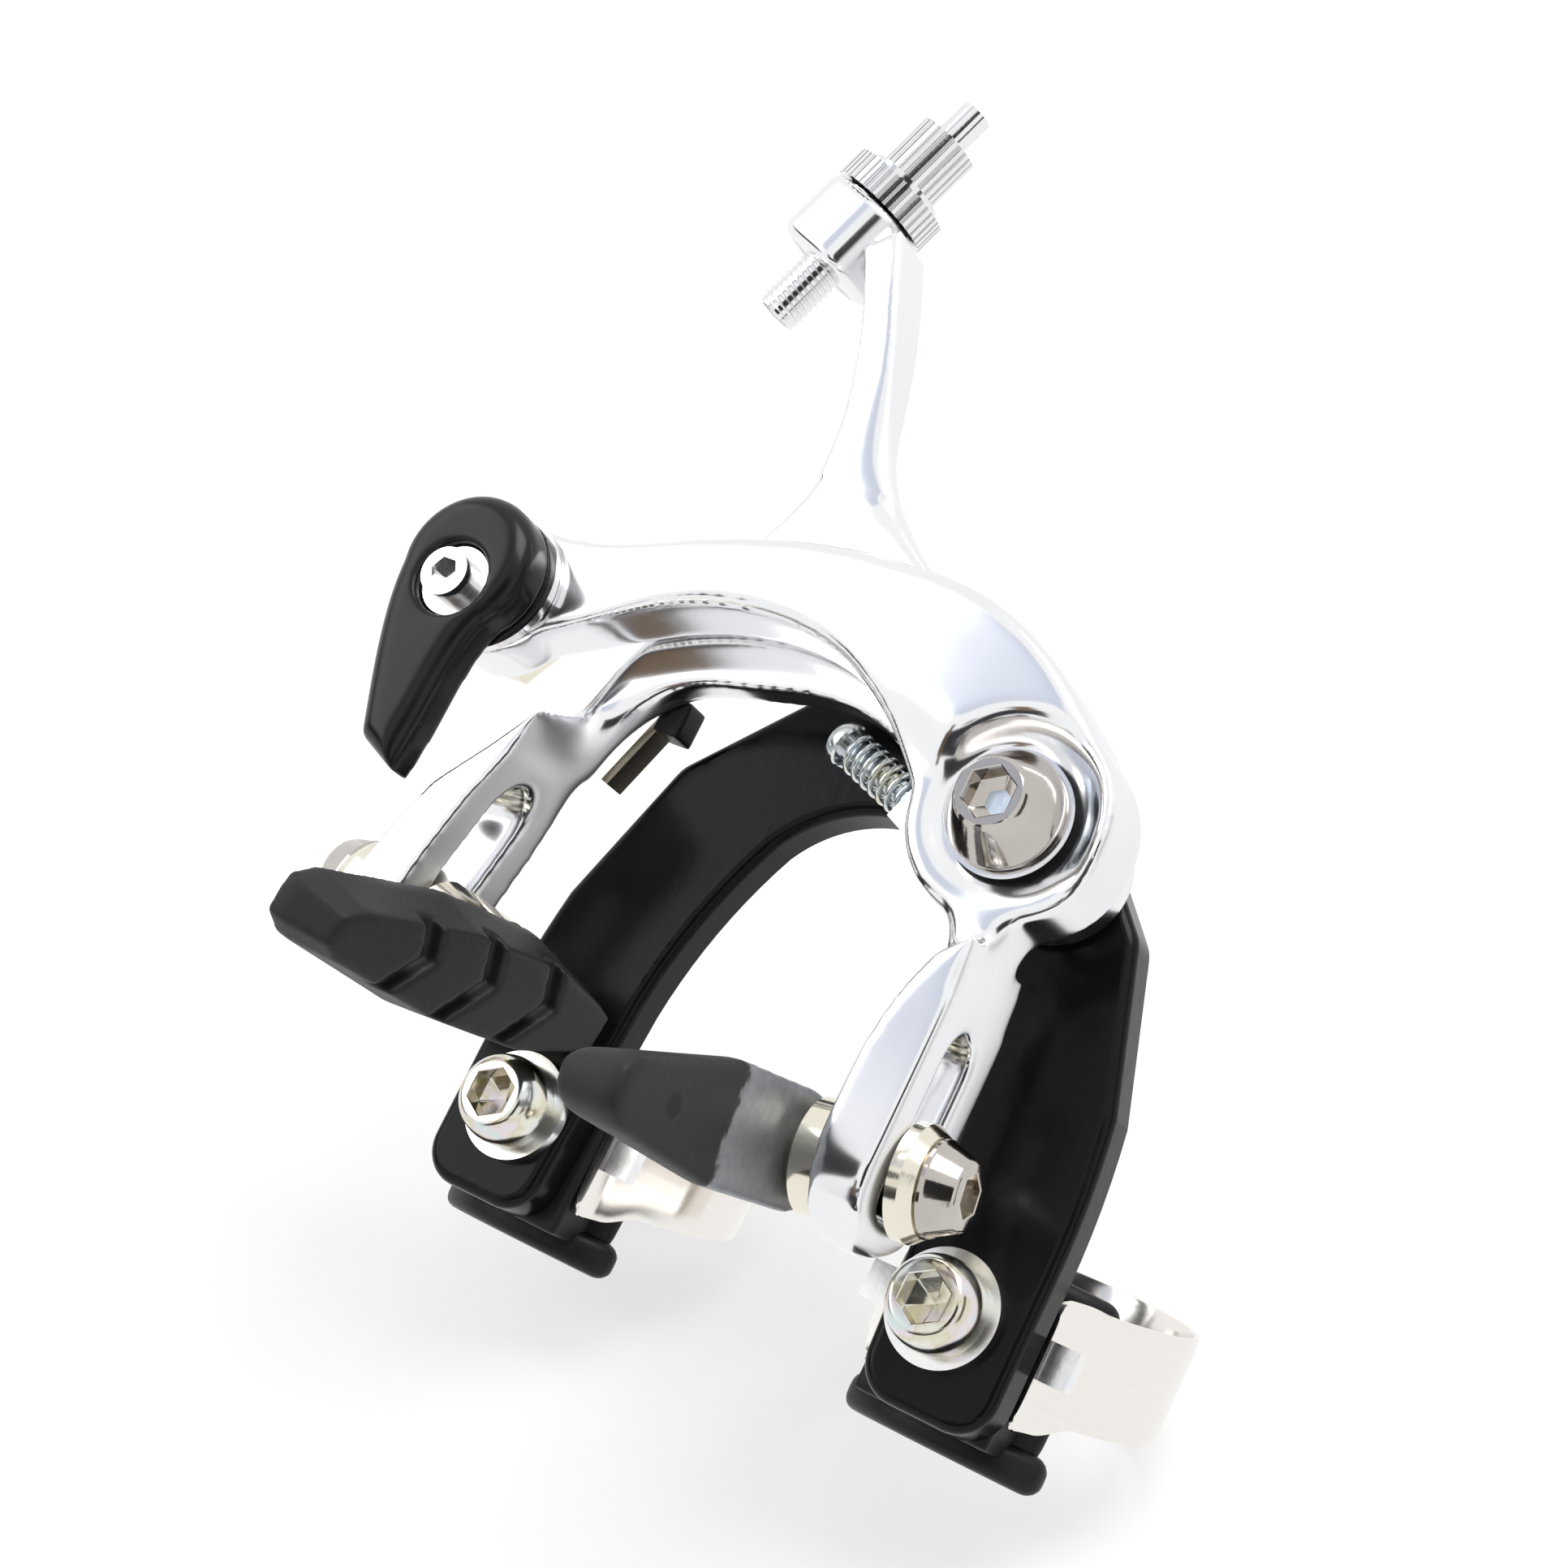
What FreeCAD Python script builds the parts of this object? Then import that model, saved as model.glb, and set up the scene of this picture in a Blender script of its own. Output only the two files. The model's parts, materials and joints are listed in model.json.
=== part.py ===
import FreeCAD, Part
import math
import os

import Sketcher
from FreeCAD import Placement, Rotation, Vector

# Rim brake caliper on a clamp-on bracket.
# Frame: origin on the mounting bolt's axis at the bracket's front face,
# +X to the right seen from the front, +Y to the rear along the bolt, +Z up.

doc = FreeCAD.newDocument("rim_brake_caliper")
sheet = doc.addObject("Spreadsheet::Sheet", "sizes")

SIZES = [
    # bracket plate
    ("plate_thick", 5.0),
    ("plate_round", 1.3),
    ("plate_top", 8.0),
    ("plate_top_half", 6.3),
    ("shoulder_half", 29.6),
    ("shoulder_drop", 17.2),
    ("hip_half", 35.5),
    ("hip_drop", 35.2),
    ("leg_outer", 36.9),
    ("leg_inner", 21.6),
    ("leg_drop", 70.5),
    ("leg_corner", 4.5),
    ("arch_drop", 13.9),
    ("arch_half", 14.0),
    ("arch_shoulder_drop", 21.8),
    ("arch_foot_half", 20.3),
    ("arch_foot_drop", 44.0),
    # fork clamps
    ("clamp_half", 28.0),
    ("clamp_drop", 59.7),
    ("tube_radius", 12.7),
    ("liner_thick", 2.2),
    ("strap_thick", 1.0),
    ("strap_wide", 12.4),
    ("liner_wide", 22.0),
    ("block_half", 8.0),
    ("block_tall", 17.0),
    ("block_web", 4.5),
    ("block_lower", 2.3),
    ("wing_reach", 7.0),
    ("clamp_screw_radius", 3.0),
    ("clamp_head_radius", 5.0),
    ("clamp_head_tall", 4.6),
    ("clamp_key", 5.0),
    ("clamp_washer_radius", 6.2),
    ("clamp_washer_thick", 1.3),
    ("strap_reach", 60.0),
    ("strap_tail", 8.6),
    ("strap_tilt", 10.0),
    ("tab_wide", 4.2),
    ("carrier_tall", 9.0),
    ("tab_thick", 2.0),
    ("tab_set", 1.5),
    ("tab_proud", 1.8),
    ("strap_slack", 0.7),
    ("window_slack", 0.5),
    ("fit_gap", 0.1),
    # mounting bolt and bridge
    ("bolt_radius", 3.0),
    ("bolt_clear", 0.2),
    ("bolt_head_radius", 5.0),
    ("bolt_head_tall", 2.0),
    ("bolt_nut_tall", 5.0),
    ("bolt_nut_flats", 10.0),
    ("rear_washer_radius", 6.0),
    ("rear_washer_thick", 1.6),
    ("bush_radius", 4.2),
    ("seat_radius", 7.0),
    ("seat_thick", 1.0),
    ("bridge_thick", 3.6),
    ("bridge_hub", 8.0),
    ("bridge_half", 5.0),
    ("pivot_across", 19.2),
    ("pivot_drop", 13.8),
    ("pivot_boss", 8.0),
    ("pivot_radius", 4.0),
    ("pivot_nut_radius", 6.3),
    ("pivot_nut_tip", 4.2),
    ("pivot_nut_tall", 5.6),
    ("pivot_key", 5.0),
    ("pivot_washer_radius", 6.8),
    ("pivot_washer_thick", 0.8),
    ("spacer_radius", 7.0),
    ("running_gap", 0.05),
    ("side_gap", 0.15),
    ("layer_gap", 0.35),
    # centring screw
    ("screw_radius", 1.5),
    ("screw_head_radius", 2.6),
    ("screw_head_tall", 1.9),
    ("screw_long", 13.5),
    ("screw_depth", 7.0),
    ("screw_spring_radius", 2.1),
    ("screw_spring_wire", 0.32),
    ("screw_spring_turns", 7.0),
    # arms
    ("hub_radius", 8.0),
    ("hub_thick", 4.6),
    ("arm_thick", 8.2),
    ("arm_boss", 11.4),
    ("blade_back", 6.0),
    ("blade_wide", 16.0),
    ("blade_slot", 6.6),
    ("upright_front", 11.6),
    ("upright_back", 3.2),
    # cable adjuster
    ("adjuster_tilt", 22.0),
    ("adjuster_radius", 2.5),
    ("adjuster_bore", 1.0),
    ("adjuster_below", 8.0),
    ("adjuster_boss", 5.6),
    ("adjuster_boss_tall", 9.0),
    ("ring_radius", 6.5),
    ("ring_tall", 3.6),
    ("barrel_radius", 3.9),
    ("barrel_tall", 7.0),
    ("flange_radius", 4.9),
    ("flange_tall", 0.8),
    ("ferrule_radius", 2.0),
    ("ferrule_tall", 4.6),
    # quick release
    ("eye_radius", 8.4),
    ("journal_radius", 6.2),
    ("cam_throw", 2.6),
    ("lever_head_radius", 8.3),
    ("lever_head_thick", 5.4),
    ("cam_disc_radius", 8.7),
    ("cam_disc_thick", 0.9),
    ("wave_radius", 8.5),
    ("wave_thick", 0.5),
    ("anchor_radius", 2.5),
    ("anchor_washer_radius", 4.2),
    ("anchor_washer_thick", 0.6),
    ("anchor_pocket_radius", 4.5),
    ("anchor_pocket_deep", 1.8),
    ("anchor_nut_half", 4.6),
    ("anchor_nut_tall", 3.0),
    ("anchor_key", 3.0),
    ("anchor_head_tall", 2.6),
    ("anchor_head_radius", 2.9),
    ("lever_round", 2.6),
    # return spring
    ("spring_thick", 1.0),
    ("spring_wide", 3.4),
    ("clip_wide", 3.4),
    ("clip_deep", 4.2),
    ("clip_tall", 4.4),
    ("clip_drop", 15.4),
    # brake blocks
    ("block_long_front", 38.5),
    ("block_long_back", 13.0),
    ("shoe_half", 6.2),
    ("shoe_thick", 2.0),
    ("rubber_thick", 6.0),
    ("groove_wide", 2.6),
    ("groove_deep", 2.0),
    ("stud_radius", 3.0),
    ("cup_radius", 6.0),
    ("cup_thick", 2.6),
    ("cone_radius", 4.9),
    ("cone_tip", 3.5),
    ("cone_tall", 3.8),
    ("cone_key", 4.0),
    ("block_pitch", 6.0),
    ("left_lean", 10.0),
    ("right_lean", 8.4),
]

for row, (alias, value) in enumerate(SIZES, start=1):
    sheet.set(f"A{row}", alias)
    sheet.set(f"B{row}", str(value))
    sheet.setAlias(f"B{row}", alias)
doc.recompute()


def size(alias):
    """The value of a named cell, in millimetres or degrees."""
    return float(getattr(sheet, alias))


# ---------------------------------------------------------------- helpers

ORIGIN = Vector(0, 0, 0)
FRONT = Rotation(Vector(1, 0, 0), 90)      # turns local +Z to -Y
REAR = Rotation(Vector(1, 0, 0), -90)      # turns local +Z to +Y
RIGHT = Rotation(Vector(0, 1, 0), 90)      # turns local +Z to +X
LEFT = Rotation(Vector(0, 1, 0), -90)      # turns local +Z to -X

nodes = []


def node(obj, label):
    """Name an object as a sub-part that is written out."""
    obj.Label = label
    nodes.append(obj)
    return obj


def bind(obj, **cells):
    """Bind properties of an object to expressions on the sheet."""
    for prop, text in cells.items():
        obj.setExpression(prop, text)
    return obj


def cylinder(name, radius, height, place=None):
    """A cylinder along its own Z with its sizes bound to the sheet."""
    obj = doc.addObject("Part::Cylinder", name)
    bind(obj, Radius=radius, Height=height)
    obj.Placement = place or Placement()
    return obj


def cone(name, radius1, radius2, height, place=None):
    """A truncated cone along its own Z with its sizes bound to the sheet."""
    obj = doc.addObject("Part::Cone", name)
    bind(obj, Radius1=radius1, Radius2=radius2, Height=height)
    obj.Placement = place or Placement()
    return obj


def box(name, length, width, height, place=None):
    """A box from its corner with its sizes bound to the sheet."""
    obj = doc.addObject("Part::Box", name)
    bind(obj, Length=length, Width=width, Height=height)
    obj.Placement = place or Placement()
    return obj


def prism(name, flats, height, place=None):
    """A hexagonal prism along its own Z, sized across its flats."""
    obj = doc.addObject("Part::Prism", name)
    obj.Polygon = 6
    bind(obj, Circumradius=f"({flats}) / sqrt(3)", Height=height)
    obj.Placement = place or Placement()
    return obj


def cut(name, base, *tools):
    """The base less each tool in turn."""
    result = base
    for number, tool in enumerate(tools):
        step = doc.addObject("Part::Cut", f"{name}_cut{number}")
        step.Base = result
        step.Tool = tool
        result = step
    return result


def fuse(name, *parts):
    """One solid made of several that touch."""
    obj = doc.addObject("Part::MultiFuse", name)
    obj.Shapes = list(parts)
    obj.Refine = True
    return obj


def group(name, *parts):
    """Several separate solids kept in one node."""
    obj = doc.addObject("Part::Compound", name)
    obj.Links = list(parts)
    return obj


def mirrored(name, source):
    """The source mirrored in the plane X = 0."""
    obj = doc.addObject("Part::Mirroring", name)
    obj.Source = source
    obj.Normal = Vector(1, 0, 0)
    return obj


def origin_plane(body, role):
    """One of a body's own three origin planes."""
    return next(item for item in body.Origin.OriginFeatures if item.Role == role)


def sketch(body, name, role, geometry, offset=Placement()):
    """A sketch on one of the body's origin planes."""
    item = body.newObject("Sketcher::SketchObject", name)
    item.AttachmentSupport = (origin_plane(body, role), [""])
    item.MapMode = "FlatFace"
    item.AttachmentOffset = offset
    for curve in geometry:
        item.addGeometry(curve, False)
    return item


def pad(body, profile, name, length, back=False):
    """A pad of a sketch, its length bound to the sheet."""
    item = body.newObject("PartDesign::Pad", name)
    item.Profile = profile
    item.Reversed = back
    bind(item, Length=length)
    return item


def pocket(body, profile, name, length, both=False):
    """A pocket of a sketch, its length bound to the sheet."""
    item = body.newObject("PartDesign::Pocket", name)
    item.Profile = profile
    item.Midplane = both
    bind(item, Length=length)
    return item


def rounded(body, name, edges, radius):
    """A fillet on the named edges of the body's last feature."""
    last = body.Tip
    item = body.newObject("PartDesign::Fillet", name)
    item.Base = (last, edges)
    bind(item, Radius=radius)
    doc.recompute()
    return item


def turned(name, profile, place=None):
    """A body turned about its own Z from a closed profile of (radius, height)."""
    body = doc.addObject("PartDesign::Body", name)
    face = sketch(body, name + "_profile", "XZ_Plane", profile)
    item = body.newObject("PartDesign::Revolution", name + "_turn")
    item.Profile = face
    item.ReferenceAxis = (face, ["V_Axis"])
    item.Angle = 360
    body.Placement = place or Placement()
    return body


def loop(points):
    """Closed straight-sided outline through (u, v) points."""
    ends = points[1:] + points[:1]
    return [Part.LineSegment(Vector(*a, 0), Vector(*b, 0)) for a, b in zip(points, ends)]


def curve(points):
    """A smooth open curve through (u, v) points."""
    line = Part.BSplineCurve()
    line.interpolate([Vector(u, v, 0) for u, v in points])
    return line


def straight(a, b):
    """A straight edge between two (u, v) points."""
    return Part.LineSegment(Vector(*a, 0), Vector(*b, 0))


def arc(a, b, c):
    """An arc through three (u, v) points."""
    return Part.Arc(Vector(*a, 0), Vector(*b, 0), Vector(*c, 0))


def circle(centre, radius):
    """A full circle about a (u, v) point."""
    return Part.Circle(Vector(*centre, 0), Vector(0, 0, 1), radius)


def at_depth(depth):
    """Offset that moves a front-view sketch to Y = depth."""
    return Placement(Vector(0, 0, -depth), Rotation())


# ------------------------------------------------ depths of the layers (Y)

seat_front = -size("seat_thick")
bridge_front = seat_front - size("bridge_thick")
hub_back = bridge_front - size("side_gap")
hub_front = hub_back - size("hub_thick")
arm_back = hub_front - size("layer_gap")
arm_front = arm_back - size("arm_thick")
blade_back = -size("blade_back")
blade_mid = blade_back - size("blade_wide") / 2
pivot = (size("pivot_across"), -size("pivot_drop"))
eye = (-51.3, -8.9)
anchor = (eye[0] - 0.45, eye[1] - size("cam_throw"))


# ---------------------------------------------------------- bracket plate

def bracket_plate():
    """Inverted U of thick plate with sloping shoulders and two legs."""
    top = size("plate_top")
    top_half = size("plate_top_half")
    shoulder = (size("shoulder_half"), -size("shoulder_drop"))
    hip = (size("hip_half"), -size("hip_drop"))
    outer = size("leg_outer")
    inner = size("leg_inner")
    foot = -size("leg_drop")
    corner = size("leg_corner")
    knee = (outer, hip[1] - 17)
    arch_top = -size("arch_drop")
    arch_side = (size("arch_half"), -size("arch_shoulder_drop"))
    arch_foot = (size("arch_foot_half"), -size("arch_foot_drop"))
    arch_mid = (0.62 * arch_foot[0] + 0.38 * arch_side[0], 0.45 * arch_foot[1] + 0.55 * arch_side[1])
    bend = corner * (1 - math.sqrt(0.5))

    def side(sign):
        """The outline of one side, from the top to the arch."""
        def p(u, v):
            return (sign * u, v)
        return [
            straight(p(top_half, top), p(*shoulder)),
            straight(p(*shoulder), p(*hip)),
            arc(p(*hip), p((hip[0] + knee[0]) / 2 + 0.35, (hip[1] + knee[1]) / 2), p(*knee)),
            straight(p(*knee), p(outer, foot + corner)),
            arc(p(outer, foot + corner), p(outer - bend, foot + bend), p(outer - corner, foot)),
            straight(p(outer - corner, foot), p(inner + corner, foot)),
            arc(p(inner + corner, foot), p(inner + bend, foot + bend), p(inner, foot + corner)),
            straight(p(inner, foot + corner), p(*arch_foot)),
            arc(p(*arch_foot), p(*arch_mid), p(*arch_side)),
        ]

    body = doc.addObject("PartDesign::Body", "bracket_plate")
    outline = side(1) + side(-1)
    outline.append(straight((-top_half, top), (top_half, top)))
    outline.append(arc((-arch_side[0], arch_side[1]), (0, arch_top), arch_side))
    face = sketch(body, "plate_outline", "XZ_Plane", outline)
    slab = pad(body, face, "plate_slab", "sizes.plate_thick", back=True)
    holes = [circle((0, 0), size("bolt_radius") + size("bolt_clear"))]
    for sign in (-1, 1):
        centre = (sign * size("clamp_half"), -size("clamp_drop"))
        holes.append(circle(centre, size("clamp_screw_radius") + size("bolt_clear")))
    holes = sketch(body, "plate_holes", "XZ_Plane", holes)
    pocket(body, holes, "plate_drillings", "3 * sizes.plate_thick", both=True)
    doc.recompute()
    corners = []
    for number, edge in enumerate(body.Shape.Edges, start=1):
        first = edge.Vertexes[0]
        upright = len(edge.Vertexes) > 1 and abs(first.Y - edge.Vertexes[1].Y) > 1
        if upright and (first.Z > 1 or abs(first.Z + size("shoulder_drop")) < 1):
            corners.append(f"Edge{number}")
    rounded(body, "plate_corners", corners, "sizes.leg_corner")
    edges = []
    for number, edge in enumerate(body.Shape.Edges, start=1):
        ends = edge.Vertexes
        if len(ends) > 1 and abs(ends[0].Y) < 0.001 and abs(ends[1].Y) < 0.001:
            edges.append(f"Edge{number}")
    rounded(body, "plate_rounding", edges, "sizes.plate_round")
    return node(body, "bracket_plate")


# ------------------------------------------------------------ fork clamps

across = size("clamp_half")
level = -size("clamp_drop")
plate_rear = size("plate_thick")
liner_out = size("tube_radius") + size("liner_thick")
strap_in = liner_out + size("strap_slack")
tube_centre = plate_rear + size("block_web") + liner_out
liner_level = level - size("block_lower")
tab_depth = plate_rear + size("tab_set")


def band(name, inside, outside, wide, tail):
    """A strip round the back of the fork tube with two tangent tails."""
    reach = math.radians(size("strap_reach"))

    def end(radius, sign, run):
        """A point on the strip's edge, run millimetres along its tail."""
        return (sign * (radius * math.sin(reach) - run * math.cos(reach)),
                -radius * math.cos(reach) - run * math.sin(reach))

    outline = []
    for radius in (inside, outside):
        outline.append(arc(end(radius, 1, 0), (0, radius), end(radius, -1, 0)))
        for sign in (-1, 1):
            outline.append(straight(end(radius, sign, 0), end(radius, sign, tail)))
    for sign in (-1, 1):
        outline.append(straight(end(inside, sign, tail), end(outside, sign, tail)))
    body = doc.addObject("PartDesign::Body", name)
    path = sketch(body, name + "_path", "XY_Plane", outline,
                  Placement(Vector(0, 0, -size(wide) / 2), Rotation()))
    pad(body, path, name + "_width", f"sizes.{wide}")
    return body


def clamp_screws():
    """Domed socket screws, their heads on the washers."""
    head_seat = -size("clamp_washer_thick")
    rim = size("clamp_head_radius")
    tall = size("clamp_head_tall")
    profile = [
        straight((0, tall), (0, 0)),
        straight((0, 0), (rim, 0)),
        straight((rim, 0), (rim, 0.3 * tall)),
        arc((rim, 0.3 * tall), (0.72 * rim, 0.83 * tall), (0, tall)),
    ]
    head = turned("clamp_head", profile, Placement(Vector(across, head_seat, level), FRONT))
    shank = cylinder("clamp_shank", "sizes.clamp_screw_radius",
                     "sizes.clamp_washer_thick + sizes.plate_thick + sizes.tab_set + sizes.tab_thick",
                     Placement(Vector(across, head_seat, level), REAR))
    key_floor = head_seat - 0.4 * size("clamp_head_tall")
    key = prism("clamp_key_hole", "sizes.clamp_key", "sizes.clamp_head_tall",
                Placement(Vector(across, key_floor, level), FRONT))
    screw = cut("clamp_screw", fuse("clamp_screw_whole", head, shank), key)
    return node(group("clamp_screw_pair", screw, mirrored("clamp_screw_left", screw)), "clamp_screws")


def clamp_washers():
    """Plain washers under the screw heads."""
    spot = Placement(Vector(across, 0, level), FRONT)
    washer = cut(
        "clamp_washer",
        cylinder("clamp_washer_disc", "sizes.clamp_washer_radius", "sizes.clamp_washer_thick", spot),
        cylinder("clamp_washer_hole", "sizes.clamp_screw_radius + sizes.bolt_clear",
                 "sizes.clamp_washer_thick", spot))
    return node(group("clamp_washer_pair", washer, mirrored("clamp_washer_left", washer)),
                "clamp_washers")


def saddle_blocks():
    """Blocks behind the legs, hollowed for the lined fork tube."""
    half = size("block_half")
    tall = size("block_tall")
    slab = box("block_slab", "2 * sizes.block_half", "sizes.block_web + 0.5 * sizes.tube_radius",
               "sizes.block_tall",
               Placement(Vector(across - half, plate_rear, liner_level - tall / 2), Rotation()))
    hollow = cylinder("block_hollow", "sizes.tube_radius + sizes.liner_thick + sizes.fit_gap",
                      "2 * sizes.block_tall",
                      Placement(Vector(across, tube_centre, liner_level - tall), Rotation()))
    channel = box("block_channel", "4 * sizes.block_half", "sizes.tab_thick + 2 * sizes.running_gap",
                  "sizes.carrier_tall + 2 * sizes.running_gap",
                  Placement(Vector(across - 2 * half, tab_depth - size("running_gap"),
                                   level - size("carrier_tall") / 2 - size("running_gap")), Rotation()))
    hole = cylinder("block_hole", "sizes.clamp_screw_radius + sizes.bolt_clear", "sizes.block_web",
                    Placement(Vector(across, plate_rear, level), REAR))
    block = cut("saddle_block", slab, hollow, channel, hole)
    return node(group("saddle_pair", block, mirrored("saddle_left", block)), "saddle_blocks")


def strap_carriers():
    """Steel bars that the screws draw forward, their ends through the straps."""
    reach = size("block_half") + size("strap_thick") + size("tab_proud") + 1.6
    half = size("block_half")
    bar = box("carrier_bar", f"{2 * reach}", "sizes.tab_thick", "sizes.tab_wide",
              Placement(Vector(across - reach, tab_depth, level - size("tab_wide") / 2), Rotation()))
    middle = box("carrier_middle", "2 * sizes.block_half", "sizes.tab_thick", "sizes.carrier_tall",
                 Placement(Vector(across - half, tab_depth, level - size("carrier_tall") / 2), Rotation()))
    hole = cylinder("carrier_hole", "sizes.clamp_screw_radius", "sizes.tab_thick",
                    Placement(Vector(across, tab_depth, level), REAR))
    carrier = cut("carrier", fuse("carrier_whole", bar, middle), hole)
    return node(group("carrier_pair", carrier, mirrored("carrier_left", carrier)), "strap_carriers")


def straps_and_liners():
    """Steel straps, tipped as they hang, and rubber cradles with two wings."""
    tip = Placement(Vector(across, tube_centre, level), Rotation())
    swing = Placement(Vector(0, 0, 0), Rotation(Vector(1, 0, 0), size("strap_tilt")),
                      Vector(0, tab_depth - tube_centre, 0))
    strap_body = band("strap_band", strap_in, strap_in + size("strap_thick"), "strap_wide",
                      size("strap_tail"))
    strap_body.Placement = tip.multiply(swing)
    window = box("strap_window", "8 * sizes.block_half", "sizes.tab_thick + 2 * sizes.window_slack",
                 "sizes.tab_wide + 2 * sizes.window_slack",
                 Placement(Vector(across - 4 * size("block_half"), tab_depth - size("window_slack"),
                                  level - size("tab_wide") / 2 - size("window_slack")), Rotation()))
    strap = cut("strap", strap_body, window)
    straps = node(group("strap_pair", strap, mirrored("strap_left", strap)), "straps")

    liner_body = doc.addObject("PartDesign::Body", "liner_ring")
    rings = [circle((0, 0), size("tube_radius")), circle((0, 0), liner_out)]
    face = sketch(liner_body, "liner_face", "XY_Plane", rings,
                  Placement(Vector(0, 0, -size("liner_wide") / 2), Rotation()))
    pad(liner_body, face, "liner_width", "sizes.liner_wide")
    liner_body.Placement = Placement(Vector(across, tube_centre, liner_level), Rotation())
    opening = box("liner_opening", "4 * sizes.tube_radius", "2 * sizes.tube_radius",
                  "2 * sizes.liner_wide",
                  Placement(Vector(across - 2 * size("tube_radius"), tube_centre - size("wing_reach"),
                                   liner_level - size("liner_wide")), Rotation()))
    liner = cut("liner", liner_body, opening)
    node(group("liner_pair", liner, mirrored("liner_left", liner)), "rubber_liners")
    return straps


# ------------------------------------------------- mounting bolt and bridge

def washer_disc(name, outer, inner, thick, depth):
    """A ring about the mounting bolt's axis, its front face at a depth."""
    spot = Placement(Vector(0, depth, 0), REAR)
    return cut(name, cylinder(name + "_disc", outer, thick, spot),
               cylinder(name + "_hole", inner, thick, spot))


def mounting():
    """The bolt, its bush, washers and rear nut."""
    head_front = hub_front + 0.05
    head_back = head_front + size("bolt_head_tall")
    washer_back = plate_rear + size("rear_washer_thick")
    nut_back = washer_back + size("bolt_nut_tall")
    shank = cylinder("bolt_shank", "sizes.bolt_radius", f"{nut_back + 2 - head_back}",
                     Placement(Vector(0, head_back, 0), REAR))
    head = cylinder("bolt_head", "sizes.bolt_head_radius", "sizes.bolt_head_tall",
                    Placement(Vector(0, head_front, 0), REAR))
    key = prism("bolt_key", "sizes.bolt_radius * 1.3", "sizes.bolt_head_tall * 0.7",
                Placement(Vector(0, head_front, 0), REAR))
    node(cut("bolt", fuse("bolt_whole", head, shank), key), "mounting_bolt")
    bush = washer_disc("bush", "sizes.bush_radius", "sizes.bolt_radius + sizes.running_gap",
                       f"{bridge_front - head_back}", head_back)
    node(bush, "hub_bush")
    node(washer_disc("seat", "sizes.seat_radius", "sizes.bolt_radius + sizes.bolt_clear",
                     "sizes.seat_thick", seat_front), "seat_washer")
    node(washer_disc("rear_washer_ring", "sizes.rear_washer_radius",
                     "sizes.bolt_radius + sizes.bolt_clear", "sizes.rear_washer_thick", plate_rear),
         "rear_washer")
    nut = cut("rear_nut_cut",
              prism("rear_nut_hex", "sizes.bolt_nut_flats", "sizes.bolt_nut_tall",
                    Placement(Vector(0, washer_back, 0), REAR)),
              cylinder("rear_nut_bore", "sizes.bolt_radius", "sizes.bolt_nut_tall",
                       Placement(Vector(0, washer_back, 0), REAR)))
    node(nut, "rear_nut")


screw_way = Vector(0.94, 0, -0.342).normalize()
screw_seat = Vector(-6.6, -size("screw_depth"), -10.2)
ALONG_SCREW = Rotation(Vector(0, 0, 1), screw_way)


def bridge():
    """Plate that carries the side pivot and the centring screw's lug."""
    px, pz = pivot
    span = math.hypot(px, pz)
    ux, uz = px / span, pz / span
    half = size("bridge_half")
    strip = [(-uz * half, ux * half), (px - uz * half, pz + ux * half),
             (px + uz * half, pz - ux * half), (uz * half, -ux * half)]
    body = doc.addObject("PartDesign::Body", "bridge_body")
    depth = at_depth(seat_front)
    pad(body, sketch(body, "bridge_hub_face", "XZ_Plane", [circle((0, 0), size("bridge_hub"))], depth),
        "bridge_hub_pad", "sizes.bridge_thick")
    pad(body, sketch(body, "bridge_boss_face", "XZ_Plane", [circle(pivot, size("pivot_boss"))], depth),
        "bridge_boss_pad", "sizes.bridge_thick")
    pad(body, sketch(body, "bridge_strip_face", "XZ_Plane", loop(strip), depth),
        "bridge_strip_pad", "sizes.bridge_thick")
    lug_start = screw_seat + screw_way * (size("screw_long") - 3.2)
    side = Vector(-screw_way.z, 0, screw_way.x)
    corners = [lug_start + side * 2.7, lug_start + screw_way * 6 + side * 5,
               lug_start + screw_way * 6 - side * 3.2, lug_start - side * 2.7]
    lug = loop([(corner.x, corner.z) for corner in corners])
    pad(body, sketch(body, "bridge_lug_face", "XZ_Plane", lug, depth), "bridge_lug_pad",
        "sizes.screw_depth - sizes.seat_thick + 2.3")
    hole = cylinder("bridge_bolt_hole", "sizes.bolt_radius + sizes.running_gap", "3 * sizes.bridge_thick",
                    Placement(Vector(0, bridge_front - size("bridge_thick"), 0), REAR))
    thread = cylinder("bridge_screw_hole", "sizes.screw_radius", "sizes.screw_long",
                      Placement(screw_seat, ALONG_SCREW))
    stud_hole = cylinder("bridge_stud_hole", "sizes.pivot_radius", "3 * sizes.bridge_thick",
                         Placement(Vector(px, bridge_front - size("bridge_thick"), pz), REAR))
    node(cut("bridge", body, hole, thread, stud_hole), "bridge_plate")


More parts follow.
